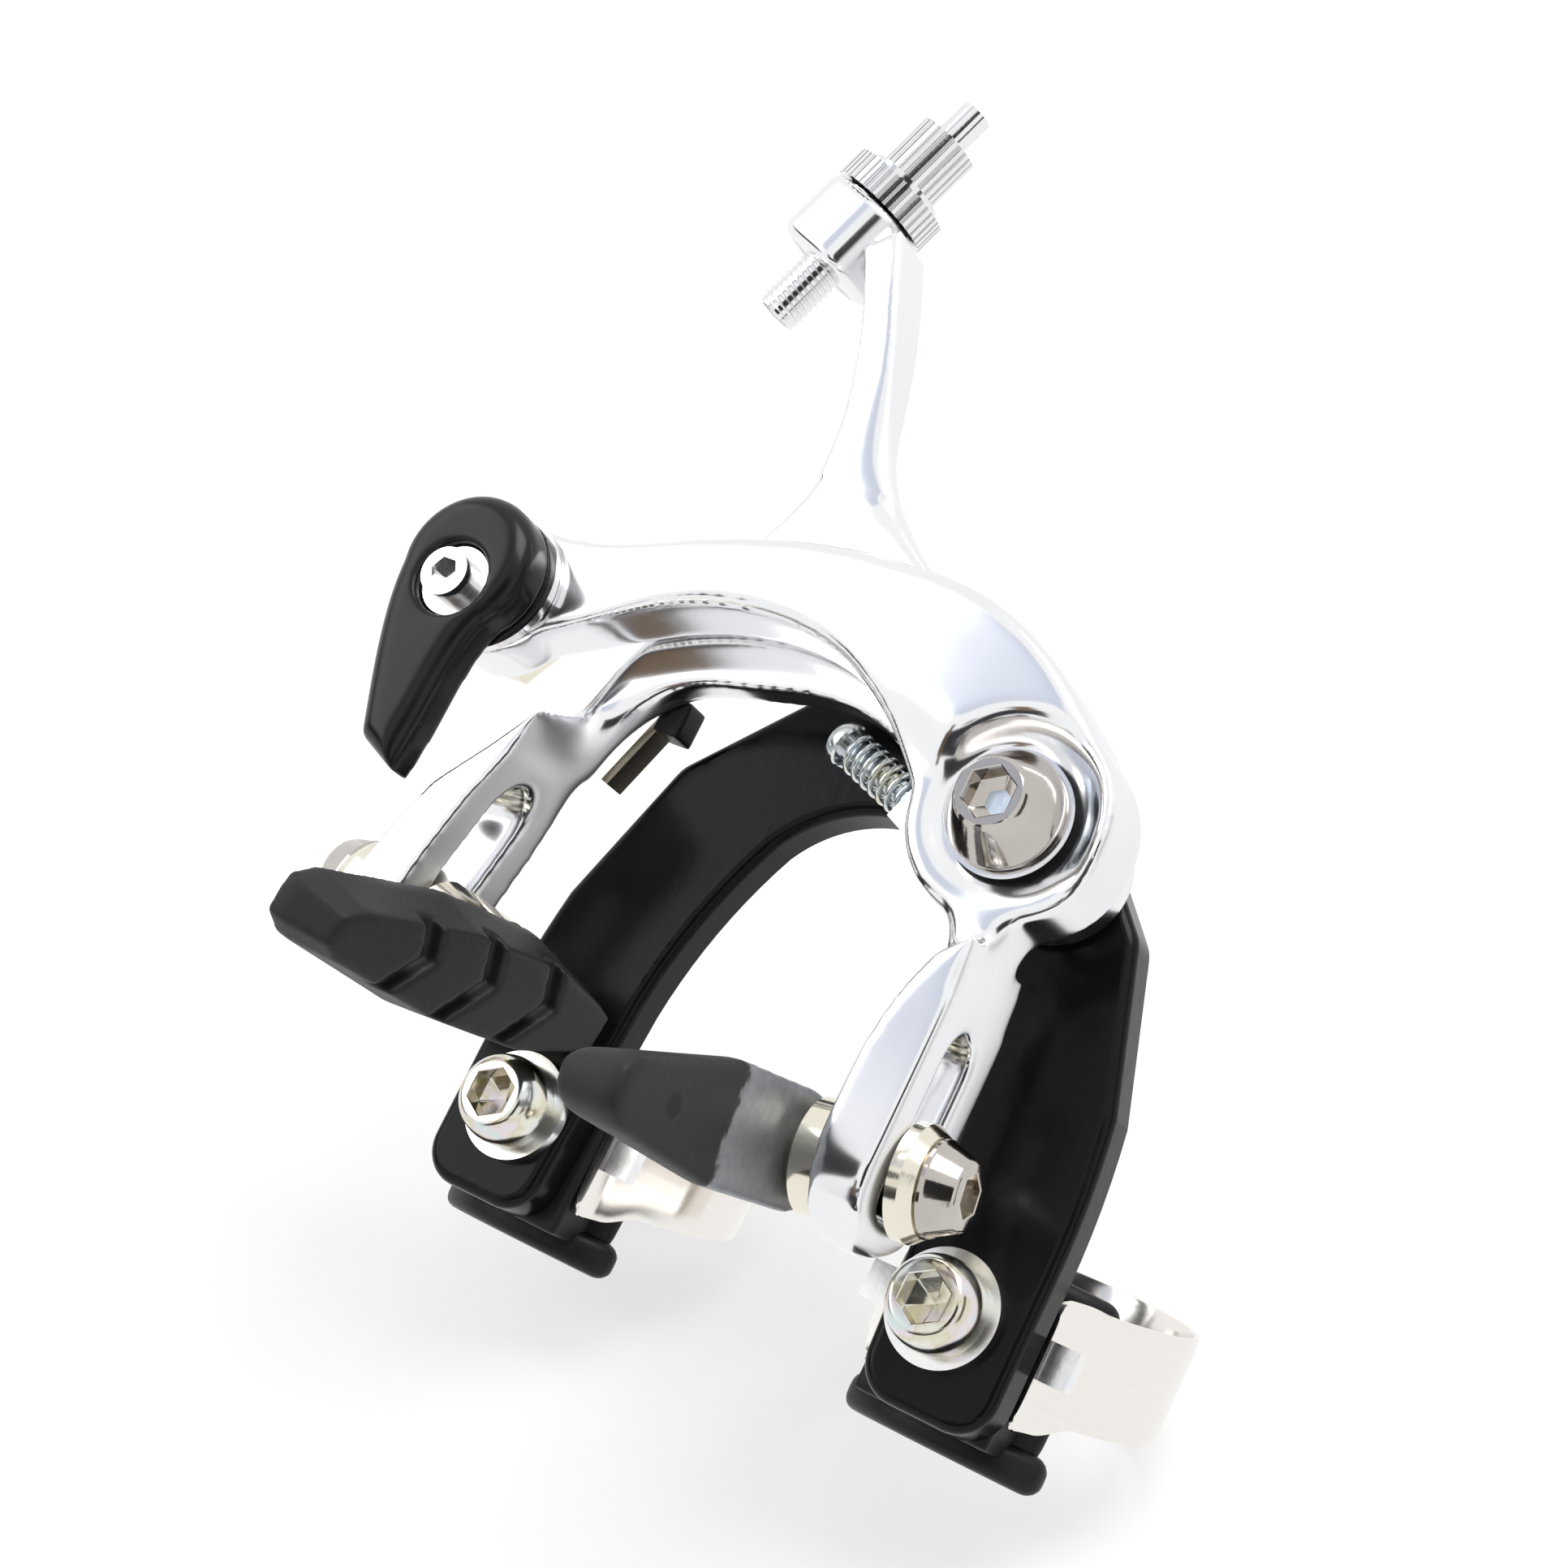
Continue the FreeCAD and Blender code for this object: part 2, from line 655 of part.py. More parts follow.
def side_pivot():
    """Stud, brass spacer, washer and conical nut of the side pivot."""
    px, pz = pivot
    washer_front = arm_front - size("side_gap") - size("pivot_washer_thick")
    stud_front = washer_front - 0.45 * size("pivot_nut_tall")
    stud = cylinder("stud_rod", "sizes.pivot_radius", f"{seat_front - stud_front}",
                    Placement(Vector(px, stud_front, pz), REAR))
    node(stud, "side_pivot_stud")
    spacer_long = bridge_front - arm_back - size("side_gap")
    spot = Placement(Vector(px, arm_back + size("side_gap"), pz), REAR)
    spacer = cut("spacer",
                 cylinder("spacer_drum", "sizes.spacer_radius", f"{spacer_long}", spot),
                 cylinder("spacer_bore", "sizes.pivot_radius + sizes.running_gap", f"{spacer_long}", spot))
    node(spacer, "brass_spacer")
    spot = Placement(Vector(px, washer_front, pz), REAR)
    washer = cut("pivot_washer_ring",
                 cylinder("pivot_washer_disc", "sizes.pivot_washer_radius", "sizes.pivot_washer_thick",
                          spot),
                 cylinder("pivot_washer_hole", "sizes.pivot_radius + sizes.running_gap",
                          "sizes.pivot_washer_thick", spot))
    node(washer, "pivot_washer")
    spot = Placement(Vector(px, washer_front, pz), FRONT)
    nut = cut("pivot_nut_cut",
              cone("pivot_nut_cone", "sizes.pivot_nut_radius", "sizes.pivot_nut_tip",
                   "sizes.pivot_nut_tall", spot),
              cylinder("pivot_nut_bore", "sizes.pivot_radius", f"{washer_front - stud_front}", spot),
              prism("pivot_nut_key", "sizes.pivot_key", "2 * sizes.pivot_nut_tall", spot))
    node(nut, "pivot_nut")


def centring_screw():
    """Pan-headed screw with a coil spring between its head and the lug."""
    place = Placement(screw_seat, ALONG_SCREW)
    shank = cylinder("screw_shank", "sizes.screw_radius", "sizes.screw_long", place)
    head_spot = place.multiply(Placement(Vector(0, 0, -size("screw_head_tall")), Rotation()))
    head = cylinder("screw_head", "sizes.screw_head_radius", "sizes.screw_head_tall", head_spot)
    blades = []
    for turn in (0, 90):
        blade_spot = head_spot.multiply(Placement(Vector(0, 0, 0), Rotation(Vector(0, 0, 1), turn)))
        blade_spot = blade_spot.multiply(Placement(Vector(-1.7, -0.35, 0), Rotation()))
        blades.append(box(f"screw_cross{turn}", "2 * 1.7", "2 * 0.35", "0.6 * sizes.screw_head_tall",
                          blade_spot))
    screw = cut("screw_cut", fuse("screw_whole", head, shank), *blades)
    node(screw, "centring_screw")

    turns = size("screw_spring_turns")
    wire = size("screw_spring_wire")
    free = size("screw_long") - 3.2 - 2 * wire - 0.1
    helix = Part.makeHelix(free / turns, free, size("screw_spring_radius"))
    ring = Part.Wire(Part.makeCircle(wire, Vector(size("screw_spring_radius"), 0, 0), Vector(0, 1, 0)))
    coil = doc.addObject("Part::Feature", "screw_spring_coil")
    coil.Shape = Part.Wire(helix.Edges).makePipeShell([ring], True, True)
    coil.Placement = place.multiply(Placement(Vector(0, 0, wire + 0.05), Rotation()))
    node(coil, "centring_spring")


# -------------------------------------------------------------------- arms

def blade_slot(body, name, foot, lean, top, bottom):
    """Slot through a blade for the brake block's stud."""
    half = size("blade_slot") / 2
    mid = blade_mid
    outline = [
        straight((mid - half, bottom + half), (mid - half, top - half)),
        arc((mid - half, top - half), (mid, top), (mid + half, top - half)),
        straight((mid + half, top - half), (mid + half, bottom + half)),
        arc((mid + half, bottom + half), (mid, bottom), (mid - half, bottom + half)),
    ]
    turn = Rotation(Vector(1, 0, 0), -lean)
    offset = Placement(Vector(0, foot[1], foot[0]), turn)
    face = sketch(body, name + "_face", "YZ_Plane", outline, offset)
    return pocket(body, face, name, "24 mm", both=True)


def c_arm():
    """Front arm: lever eye, arch over the bolt, side pivot boss and blade."""
    body = doc.addObject("PartDesign::Body", "c_arm_body")
    depth = at_depth(arm_back)
    top_line = [(-52.0, -0.6), (-44.0, -0.8), (-35.0, 1.2), (-25.0, 4.3), (-14.0, 7.2), (-3.0, 7.9),
                (5.0, 7.2), (12.0, 5.0), (19.0, 1.0), (25.5, -4.4), (30.0, -11.0)]
    under_line = [(-52.0, -16.6), (-45.0, -13.6), (-39.0, -10.2), (-28.0, -4.8), (-20.0, -2.9),
                  (-12.0, -2.8), (-4.0, -5.0), (3.0, -9.6), (8.5, -15.6)]
    arch = [curve(top_line), curve(under_line), straight(top_line[0], under_line[0]),
            straight(top_line[-1], under_line[-1])]
    pad(body, sketch(body, "arch_face", "XZ_Plane", arch, depth), "arch_pad", "sizes.arm_thick")
    pad(body, sketch(body, "eye_face", "XZ_Plane", [circle(eye, size("eye_radius"))], depth),
        "eye_pad", "sizes.arm_thick")
    pad(body, sketch(body, "boss_face", "XZ_Plane", [circle(pivot, size("arm_boss"))], depth),
        "boss_pad", "sizes.arm_thick")
    leg = loop([(9.4, -18.0), (13.8, -18.8), (16.5, -23.2), (18.5, -28.4), (19.0, -36.0), (24.2, -36.0),
                (23.5, -29.0), (24.4, -24.0), (26.0, -19.0), (22.0, -14.0)])
    pad(body, sketch(body, "leg_face", "XZ_Plane", leg, depth), "leg_pad", "sizes.arm_thick")
    blade_depth = at_depth(blade_back)
    blade = [
        straight((20.2, -29.5), (23.4, -26.5)),
        straight((23.4, -26.5), (24.1, -34.0)),
        straight((24.1, -34.0), (24.3, -55.0)),
        arc((24.3, -55.0), (21.5, -59.4), (18.2, -56.0)),
        curve([(18.2, -56.0), (17.4, -49.0), (17.4, -42.0), (18.4, -35.0), (20.2, -29.5)]),
    ]
    pad(body, sketch(body, "blade_face", "XZ_Plane", blade, blade_depth), "blade_pad",
        "sizes.blade_wide")
    blade_slot(body, "blade_slot", (20.0, 0.0), 0.0, -35.5, -55.5)
    bores = [circle(pivot, size("pivot_radius") + size("running_gap")),
             circle(eye, size("journal_radius") + size("running_gap"))]
    pocket(body, sketch(body, "arm_bores", "XZ_Plane", bores, at_depth(-10)), "arm_bore_cut",
           "60 mm", both=True)
    round_blade = blade_corner_cutter("c_blade_corner", (20.0, -59.4), 0.0)
    node(cut("c_arm_whole", body, round_blade), "lever_arm")


def blade_corner_cutter(name, foot, lean):
    """What is cut away to round a blade's lower corners, seen from its side."""
    half = size("blade_wide") / 2
    body = doc.addObject("PartDesign::Body", name)
    outline = [
        arc((-half, half), (0, 0), (half, half)),
        straight((half, half), (half + 2, half)),
        straight((half + 2, half), (half + 2, -3)),
        straight((half + 2, -3), (-half - 2, -3)),
        straight((-half - 2, -3), (-half - 2, half)),
        straight((-half - 2, half), (-half, half)),
    ]
    face = sketch(body, name + "_face", "YZ_Plane", outline, Placement(Vector(0, 0, -12), Rotation()))
    pad(body, face, name + "_pad", "24 mm")
    body.Placement = Placement(Vector(foot[0], blade_mid, foot[1]), Rotation(Vector(0, 1, 0), lean))
    return body


adjuster_lean = math.radians(size("adjuster_tilt"))
adjuster_way = Vector(math.sin(adjuster_lean), 0, math.cos(adjuster_lean))
adjuster_seat = Vector(-35.0, -(size("upright_front") + size("upright_back")) / 2, 51.3)
ALONG_ADJUSTER = Rotation(Vector(0, 0, 1), adjuster_way)


def y_arm():
    """Rear arm: hub on the bolt, upright to the cable adjuster, left blade."""
    body = doc.addObject("PartDesign::Body", "y_arm_body")
    depth = at_depth(hub_back)
    pad(body, sketch(body, "hub_face", "XZ_Plane", [circle((0, 0), size("hub_radius"))], depth),
        "hub_pad", "sizes.hub_thick")
    web = [
        curve([(1.0, 7.9), (-4.0, 9.6), (-10.3, 13.7), (-15.3, 18.6), (-18.4, 23.0)]),
        straight((-18.4, 23.0), (-25.4, 23.0)),
        curve([(-25.4, 23.0), (-25.6, 17.0), (-27.0, 11.0), (-30.0, 4.0), (-35.0, -6.0), (-39.0, -15.0),
               (-41.5, -23.0)]),
        straight((-41.5, -23.0), (-35.4, -24.5)),
        curve([(-35.4, -24.5), (-34.0, -19.0), (-31.5, -14.0), (-27.5, -10.4), (-20.0, -8.2),
               (-10.0, -6.4), (-3.0, -7.4)]),
        straight((-3.0, -7.4), (1.0, 7.9)),
    ]
    pad(body, sketch(body, "web_face", "XZ_Plane", web, depth), "web_pad", "sizes.hub_thick")
    upright = [
        curve([(-25.6, 17.0), (-25.4, 24.0), (-26.6, 31.5), (-29.2, 39.0), (-32.5, 45.0)]),
        straight((-32.5, 45.0), (-28.4, 48.0)),
        curve([(-28.4, 48.0), (-25.2, 40.7), (-21.6, 31.7), (-18.2, 22.8), (-14.8, 17.0)]),
        straight((-14.8, 17.0), (-25.6, 17.0)),
    ]
    pad(body, sketch(body, "upright_face", "XZ_Plane", upright, at_depth(-size("upright_back"))),
        "upright_pad", "sizes.upright_front - sizes.upright_back")
    near = [(-34.6, -20.9), (-38.5, -26.8), (-43.1, -33.1), (-45.3, -39.1), (-46.9, -45.0), (-47.9, -51.5),
            (-45.5, -54.8), (-42.0, -54.0), (-40.6, -47.5), (-39.4, -40.5), (-37.6, -33.0), (-35.4, -27.0)]
    far = [(-38.8, -15.0), (-42.0, -22.0), (-44.6, -28.5), (-46.4, -35.0), (-47.6, -42.0), (-48.6, -50.5),
           (-46.0, -54.8), (-41.4, -54.0), (-39.9, -47.5), (-38.6, -40.5), (-37.0, -31.5), (-35.2, -22.0)]
    front_face = sketch(body, "left_blade_front", "XZ_Plane", loop(near),
                        at_depth(blade_back - size("blade_wide")))
    rear_face = sketch(body, "left_blade_rear", "XZ_Plane", loop(far), at_depth(blade_back))
    blade = body.newObject("PartDesign::AdditiveLoft", "left_blade_loft")
    blade.Profile = front_face
    blade.Sections = [rear_face]
    blade.Ruled = True
    blade_slot(body, "left_blade_slot", (-43.0, -40.0), size("left_lean"), 10.0, -10.5)
    seat_place = Placement(adjuster_seat, ALONG_ADJUSTER)
    down = Placement(Vector(0, 0, -size("adjuster_boss_tall")), Rotation())
    boss = cylinder("adjuster_boss_drum", "sizes.adjuster_boss", "sizes.adjuster_boss_tall",
                    seat_place.multiply(down))
    whole = fuse("y_arm_joined", body, boss)
    deep = Placement(Vector(0, 0, -3 * size("adjuster_boss_tall")), Rotation())
    bore = cylinder("adjuster_bore_hole", "sizes.adjuster_radius + sizes.running_gap",
                    "4 * sizes.adjuster_boss_tall", seat_place.multiply(deep))
    bush_hole = cylinder("hub_bore", "sizes.bush_radius + sizes.running_gap", "3 * sizes.hub_thick",
                         Placement(Vector(0, hub_front - size("hub_thick"), 0), REAR))
    head_hole = cylinder("hub_counterbore", "sizes.bolt_head_radius + sizes.side_gap",
                         "2 * sizes.bolt_head_tall + sizes.side_gap",
                         Placement(Vector(0, hub_front - size("bolt_head_tall"), 0), REAR))
    corner = blade_corner_cutter("y_blade_corner", (-44.4, -54.8), size("left_lean"))
    node(cut("y_arm_whole", whole, bore, bush_hole, head_hole, corner), "adjuster_arm")


def along_adjuster(height):
    """A place on the adjuster's axis, a height above its boss."""
    return Placement(adjuster_seat + adjuster_way * height, ALONG_ADJUSTER)


def ribbed(name, radius, height, count, deep, place):
    """A drum with half-round flutes all round it."""
    body = doc.addObject("PartDesign::Body", name)
    face = sketch(body, name + "_face", "XY_Plane", [circle((0, 0), size(radius))])
    pad(body, face, name + "_pad", f"sizes.{height}")
    flute = math.pi * size(radius) / count * 0.52
    hole = sketch(body, name + "_flute", "XY_Plane", [circle((size(radius) + flute - deep, 0), flute)])
    groove = body.newObject("PartDesign::Pocket", name + "_groove")
    groove.Profile = hole
    groove.Type = 1
    groove.Midplane = True
    ring = body.newObject("PartDesign::PolarPattern", name + "_ring")
    ring.Originals = [groove]
    ring.Axis = (next(item for item in body.Origin.OriginFeatures if item.Role == "Z_Axis"), [""])
    ring.Angle = 360
    ring.Occurrences = count
    body.Tip = ring
    body.Placement = place
    return body


def adjuster():
    """Threaded tube with its lock ring, fluted barrel and cable ferrule."""
    barrel_base = size("ring_tall") + 0.1
    ferrule_base = barrel_base + size("flange_tall") + size("barrel_tall")
    tube_long = size("adjuster_below") + size("adjuster_boss_tall") + barrel_base
    tube = cylinder("adjuster_tube", "sizes.adjuster_radius", f"{tube_long + 0.5}",
                    along_adjuster(-size("adjuster_below") - size("adjuster_boss_tall")))
    flange = cylinder("adjuster_flange", "sizes.flange_radius", "sizes.flange_tall",
                      along_adjuster(barrel_base))
    drum = ribbed("barrel_drum", "barrel_radius", "barrel_tall", 22, 0.35,
                  along_adjuster(barrel_base + size("flange_tall") - 0.01))
    bore = cylinder("adjuster_bore", "sizes.adjuster_bore", f"{2 * tube_long + 30}",
                    along_adjuster(-tube_long))
    socket = cylinder("barrel_socket", "sizes.ferrule_radius", "sizes.barrel_tall",
                      along_adjuster(ferrule_base - 3))
    node(cut("adjuster_whole", fuse("adjuster_joined", tube, flange, drum), bore, socket),
         "adjuster_barrel")
    ring = ribbed("lock_ring_drum", "ring_radius", "ring_tall", 40, 0.3, along_adjuster(0.05))
    hole = cylinder("lock_ring_hole", "sizes.adjuster_radius + sizes.running_gap",
                    "3 * sizes.ring_tall", along_adjuster(-size("ring_tall")))
    node(cut("lock_ring_whole", ring, hole), "lock_ring")
    ferrule = cut("ferrule_whole",
                  cylinder("ferrule_tube", "sizes.ferrule_radius", "sizes.ferrule_tall + 3",
                           along_adjuster(ferrule_base - 3)),
                  cylinder("ferrule_bore", "sizes.adjuster_bore", "sizes.ferrule_tall + 5",
                           along_adjuster(ferrule_base - 4)),
                  cylinder("ferrule_cup", "sizes.ferrule_radius - 0.5", "sizes.ferrule_tall",
                           along_adjuster(ferrule_base + 1.5)))
    node(ferrule, "cable_ferrule")


# -------------------------------------------------------------- brake blocks

def boat(front, back, half, scale):
    """Outline of a brake block from its side: widest at the stud."""
    return [(-front, -0.35 * half), (-front, 0.3 * half), (-front * 0.93, 0.55 * half),
            (-front * 0.45, scale * half), (0, scale * half), (back * 0.75, 0.62 * half),
            (back, 0.42 * half), (back, -0.42 * half), (back * 0.75, -0.62 * half),
            (0, -scale * half), (-front * 0.45, -scale * half), (-front * 0.93, -0.62 * half)]


def brake_block(side, stud_at, lean, sign, stand, blade):
    """One brake block with its holder, stud, cupped washers and nut.

    Local frame: X from the stud's nut towards the rim, Y to the rear along
    the block, Z up; the origin lies where the stud meets the holder's back.
    stand is how far the blade's inner face stands off, blade its thickness.
    """
    front = size("block_long_front")
    back = size("block_long_back")
    half = size("shoe_half")
    shoe = size("shoe_thick")
    rubber = size("rubber_thick")
    pitch = Rotation(Vector(1, 0, 0), size("block_pitch"))
    facing = Rotation() if sign > 0 else Rotation(Vector(0, 0, 1), 180)
    tilt = Rotation(Vector(0, 1, 0), lean)
    place = Placement(Vector(stud_at[0], blade_mid, stud_at[1]), tilt.multiply(pitch))
    bare = Placement(Vector(stud_at[0], blade_mid, stud_at[1]), tilt)

    def loft(name, near, far, half_near, half_far, inset):
        """A block between two boat outlines, near and far from the holder."""
        body = doc.addObject("PartDesign::Body", name)
        first = sketch(body, name + "_near", "YZ_Plane",
                       loop(boat(front, back, half_near, 1.0)),
                       Placement(Vector(0, 0, sign * near), Rotation()))
        second = sketch(body, name + "_far", "YZ_Plane",
                        loop(boat(front - inset, back - inset, half_far, 1.0)),
                        Placement(Vector(0, 0, sign * far), Rotation()))
        solid = body.newObject("PartDesign::AdditiveLoft", name + "_loft")
        solid.Profile = first
        solid.Sections = [second]
        solid.Ruled = True
        return body

    holder = loft(f"{side}_holder_body", 0, shoe, half, half, 0.0)
    holder.Placement = place
    node(holder, f"{side}_block_holder")

    block = loft(f"{side}_rubber_body", shoe, shoe + rubber, half, 0.78 * half, 1.2)
    slots = []
    wide = size("groove_wide")
    for at in (-23.6, -12.4, -0.8):
        slots.append([(at, 0.1 * half), (at - 3.6, half + 1), (at + wide - 3.6, half + 1),
                      (at + wide, 0.1 * half), (at + wide - 7.0, -half - 1), (at - 7.0, -half - 1)])
    geometry = [edge for slot in slots for edge in loop(slot)]
    far = sign * (shoe + rubber)
    face = sketch(block, f"{side}_groove_face", "YZ_Plane", geometry,
                  Placement(Vector(0, 0, far - sign * size("groove_deep")), Rotation()))
    grooves = block.newObject("PartDesign::Pocket", f"{side}_grooves")
    grooves.Profile = face
    grooves.Reversed = sign > 0
    bind(grooves, Length="2 * sizes.groove_deep")
    block.Placement = place
    node(block, f"{side}_brake_block")

    outward = Rotation(Vector(0, 0, 1), Vector(-sign, 0, 0))
    cup = size("cup_thick")

    def out(distance):
        """A place on the stud's axis, outwards from the holder's back."""
        return bare.multiply(Placement(Vector(-sign * distance, 0, 0), outward))

    nut_seat = stand + blade + cup
    stud_long = nut_seat + 0.5 * size("cone_tall")
    node(cylinder(f"{side}_stud_rod", "sizes.stud_radius", f"{stud_long}", out(0)), f"{side}_stud")
    inner = cut(f"{side}_inner_cups",
                fuse(f"{side}_inner_stack",
                     cone(f"{side}_inner_dome", "sizes.cup_radius * 0.72", "sizes.cup_radius",
                          "sizes.cup_thick * 0.5", out(0)),
                     cylinder(f"{side}_inner_disc", "sizes.cup_radius", f"{stand - cup * 0.5}",
                              out(cup * 0.5))),
                cylinder(f"{side}_inner_hole", "sizes.stud_radius", f"{stand}", out(0)))
    outer = cut(f"{side}_outer_cups",
                fuse(f"{side}_outer_stack",
                     cylinder(f"{side}_outer_disc", "sizes.cup_radius", "sizes.cup_thick * 0.5",
                              out(nut_seat - cup)),
                     cone(f"{side}_outer_dome", "sizes.cup_radius", "sizes.cup_radius * 0.85",
                          "sizes.cup_thick * 0.5", out(nut_seat - cup * 0.5))),
                cylinder(f"{side}_outer_hole", "sizes.stud_radius", "4 * sizes.cup_thick",
                         out(nut_seat - cup)))
    node(group(f"{side}_cups", inner, outer), f"{side}_cupped_washers")
    nut = cut(f"{side}_nut_cut",
              cone(f"{side}_nut_cone", "sizes.cone_radius", "sizes.cone_tip", "sizes.cone_tall",
                   out(nut_seat)),
              cylinder(f"{side}_nut_bore", "sizes.stud_radius", "0.5 * sizes.cone_tall", out(nut_seat)),
              prism(f"{side}_nut_key", "sizes.cone_key", "2 * sizes.cone_tall", out(nut_seat)))
    node(nut, f"{side}_nut")


# ------------------------------------------------------------- quick release

def quick_release():
    """Cam lever, discs, cable anchor bolt, washer and nut."""
    ex, ez = eye
    head_back = arm_front - size("wave_thick") - size("cam_disc_thick") - 0.1
    head_front = head_back - size("lever_head_thick")
    body = doc.addObject("PartDesign::Body", "lever_body")
    depth = at_depth(head_back)
    pad(body, sketch(body, "lever_head_face", "XZ_Plane",
                     [circle((ex - 0.6, ez), size("lever_head_radius"))], depth),
        "lever_head_pad", "sizes.lever_head_thick")
    tail = [
        curve([(-59.2, -5.0), (-59.8, -12.0), (-58.0, -20.0), (-55.4, -27.0), (-53.6, -31.4)]),
        straight((-53.6, -31.4), (-47.9, -33.8)),
        curve([(-47.9, -33.8), (-47.4, -29.0), (-47.2, -24.0), (-46.8, -18.0), (-45.6, -14.0)]),
        straight((-45.6, -14.0), (-59.2, -5.0)),
    ]
    pad(body, sketch(body, "lever_tail_face", "XZ_Plane", tail, depth), "lever_tail_pad",
        "sizes.lever_head_thick")
    doc.recompute()
    rim = []
    for number, edge in enumerate(body.Shape.Edges, start=1):
        ends = edge.Vertexes
        if max(abs(end.Y - head_front) for end in ends) < 0.001:
            rim.append(f"Edge{number}")
    rounded(body, "lever_rounding", rim, "sizes.lever_round")
    journal_end = arm_back + size("running_gap")
    journal = cylinder("cam_journal", "sizes.journal_radius", f"{journal_end - head_back}",
                       Placement(Vector(ex, head_back, ez), REAR))
    whole = fuse("lever_joined", body, journal)
    hole = cylinder("lever_anchor_hole", "sizes.anchor_radius + sizes.running_gap", "40",
                    Placement(Vector(anchor[0], head_front - 2, anchor[1]), REAR))
    recess = cylinder("lever_anchor_pocket", "sizes.anchor_pocket_radius", "sizes.anchor_pocket_deep",
                      Placement(Vector(anchor[0], head_front, anchor[1]), REAR))
    node(cut("lever_whole", whole, hole, recess), "release_lever")

    spot = Placement(Vector(ex, arm_front - 0.05, ez), FRONT)
    wave = cut("wave_ring", cylinder("wave_disc", "sizes.wave_radius", "sizes.wave_thick", spot),
               cylinder("wave_hole", "sizes.journal_radius + sizes.side_gap", "sizes.wave_thick", spot))
    node(wave, "wave_washer")
    spot = Placement(Vector(ex, arm_front - 0.05 - size("wave_thick"), ez), FRONT)
    disc = cut("cam_ring", cylinder("cam_ring_disc", "sizes.cam_disc_radius", "sizes.cam_disc_thick", spot),
               cylinder("cam_ring_hole", "sizes.journal_radius + sizes.side_gap",
                        "sizes.cam_disc_thick", spot))
    node(disc, "cam_disc")

    floor = head_front + size("anchor_pocket_deep")
    washer_tall = size("anchor_washer_thick")
    spot = Placement(Vector(anchor[0], floor, anchor[1]), FRONT)
    washer = cut("anchor_washer_ring",
                 cylinder("anchor_washer_disc", "sizes.anchor_washer_radius",
                          "sizes.anchor_washer_thick", spot),
                 cylinder("anchor_washer_hole", "sizes.anchor_radius",
                          "sizes.anchor_washer_thick", spot))
    node(washer, "anchor_washer")
    nut_front = arm_back + size("running_gap")
    nut_back = nut_front + size("anchor_nut_tall")
    head_seat = floor - washer_tall
    shank = cylinder("anchor_shank", "sizes.anchor_radius", f"{nut_back + 1 - head_seat}",
                     Placement(Vector(anchor[0], head_seat, anchor[1]), REAR))
    head = cylinder("anchor_head", "sizes.anchor_head_radius", "sizes.anchor_head_tall",
                    Placement(Vector(anchor[0], head_seat, anchor[1]), FRONT))
    socket = prism("anchor_socket", "sizes.anchor_key", "sizes.anchor_head_tall",
                   Placement(Vector(anchor[0], head_seat - 1.0, anchor[1]), FRONT))
    node(cut("anchor_bolt_cut", fuse("anchor_bolt_whole", head, shank), socket), "anchor_bolt")
    nut = cut("anchor_nut_cut",
              prism("anchor_nut_block", "2 * sizes.anchor_nut_half", "sizes.anchor_nut_tall",
                    Placement(Vector(anchor[0], nut_front, anchor[1]), REAR)),
              cylinder("anchor_nut_bore", "sizes.anchor_radius", "sizes.anchor_nut_tall",
                       Placement(Vector(anchor[0], nut_front, anchor[1]), REAR)))
    node(nut, "anchor_nut")


# ------------------------------------------------------------- return spring

def return_spring():
    """Flat spring that pushes the left arm open, with its plastic clip."""
    route = [(-30.6, -10.5), (-32.2, -15.0), (-34.9, -22.8)]
    half = size("spring_thick") / 2
    wide = size("spring_wide")
    outline = [(u - half, v) for u, v in route] + [(u + half, v - 0.3) for u, v in reversed(route)]
    body = doc.addObject("PartDesign::Body", "spring_body")
    front = hub_back + (size("clip_deep") - wide) / 2
    pad(body, sketch(body, "spring_face", "XZ_Plane", loop(outline), at_depth(front + wide)),
        "spring_pad", "sizes.spring_wide")
    node(body, "return_spring")
    clip = box("clip_block", "sizes.clip_wide", "sizes.clip_deep", "sizes.clip_tall",
               Placement(Vector(route[0][0] - size("clip_wide") / 2, hub_back,
                                -size("clip_drop")), Rotation()))
    node(cut("clip_cut", clip, body), "spring_clip")


bracket_plate()
clamp_screws()
clamp_washers()
saddle_blocks()
strap_carriers()
straps_and_liners()
mounting()
bridge()
side_pivot()
centring_screw()
c_arm()
y_arm()
adjuster()
brake_block("left", (-29.5, -48.8), size("left_lean"), 1, 10.3, 8.5)
brake_block("right", (13.2, -52.2), -size("right_lean"), -1, 3.9, 7.9)
quick_release()
return_spring()

doc.recompute()
failed = [item.Label for item in doc.Objects if "Invalid" in item.State or "Error" in item.State]
if failed:
    raise RuntimeError(f"failed objects: {failed}")
os.makedirs("parts", exist_ok=True)
for item in nodes:
    if item.Shape.isNull() or not item.Shape.isValid():
        raise RuntimeError(f"{item.Label} has no valid shape")
for item in nodes:
    item.Shape.exportStep(os.path.join("parts", item.Label + ".step"))
    print(f"{item.Label:24s} {len(item.Shape.Solids)} {item.Shape.Volume:10.1f}")
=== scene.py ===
# %% [markdown]
# A side-pull rim brake caliper on a bracket for two fork tubes.
# The metal parts come ready-made as a fixed frame, in metres, with +X to the right, +Y to the rear and +Z up.
# This lesson dresses that frame: it gives each part its finish, makes softer or finer surfaces where the plain
# part is too simple, and sets it on a pale table in soft light.

# %% Load the frame
import json
import math
import bmesh
import bpy
import numpy as np
from mathutils import Matrix, Vector


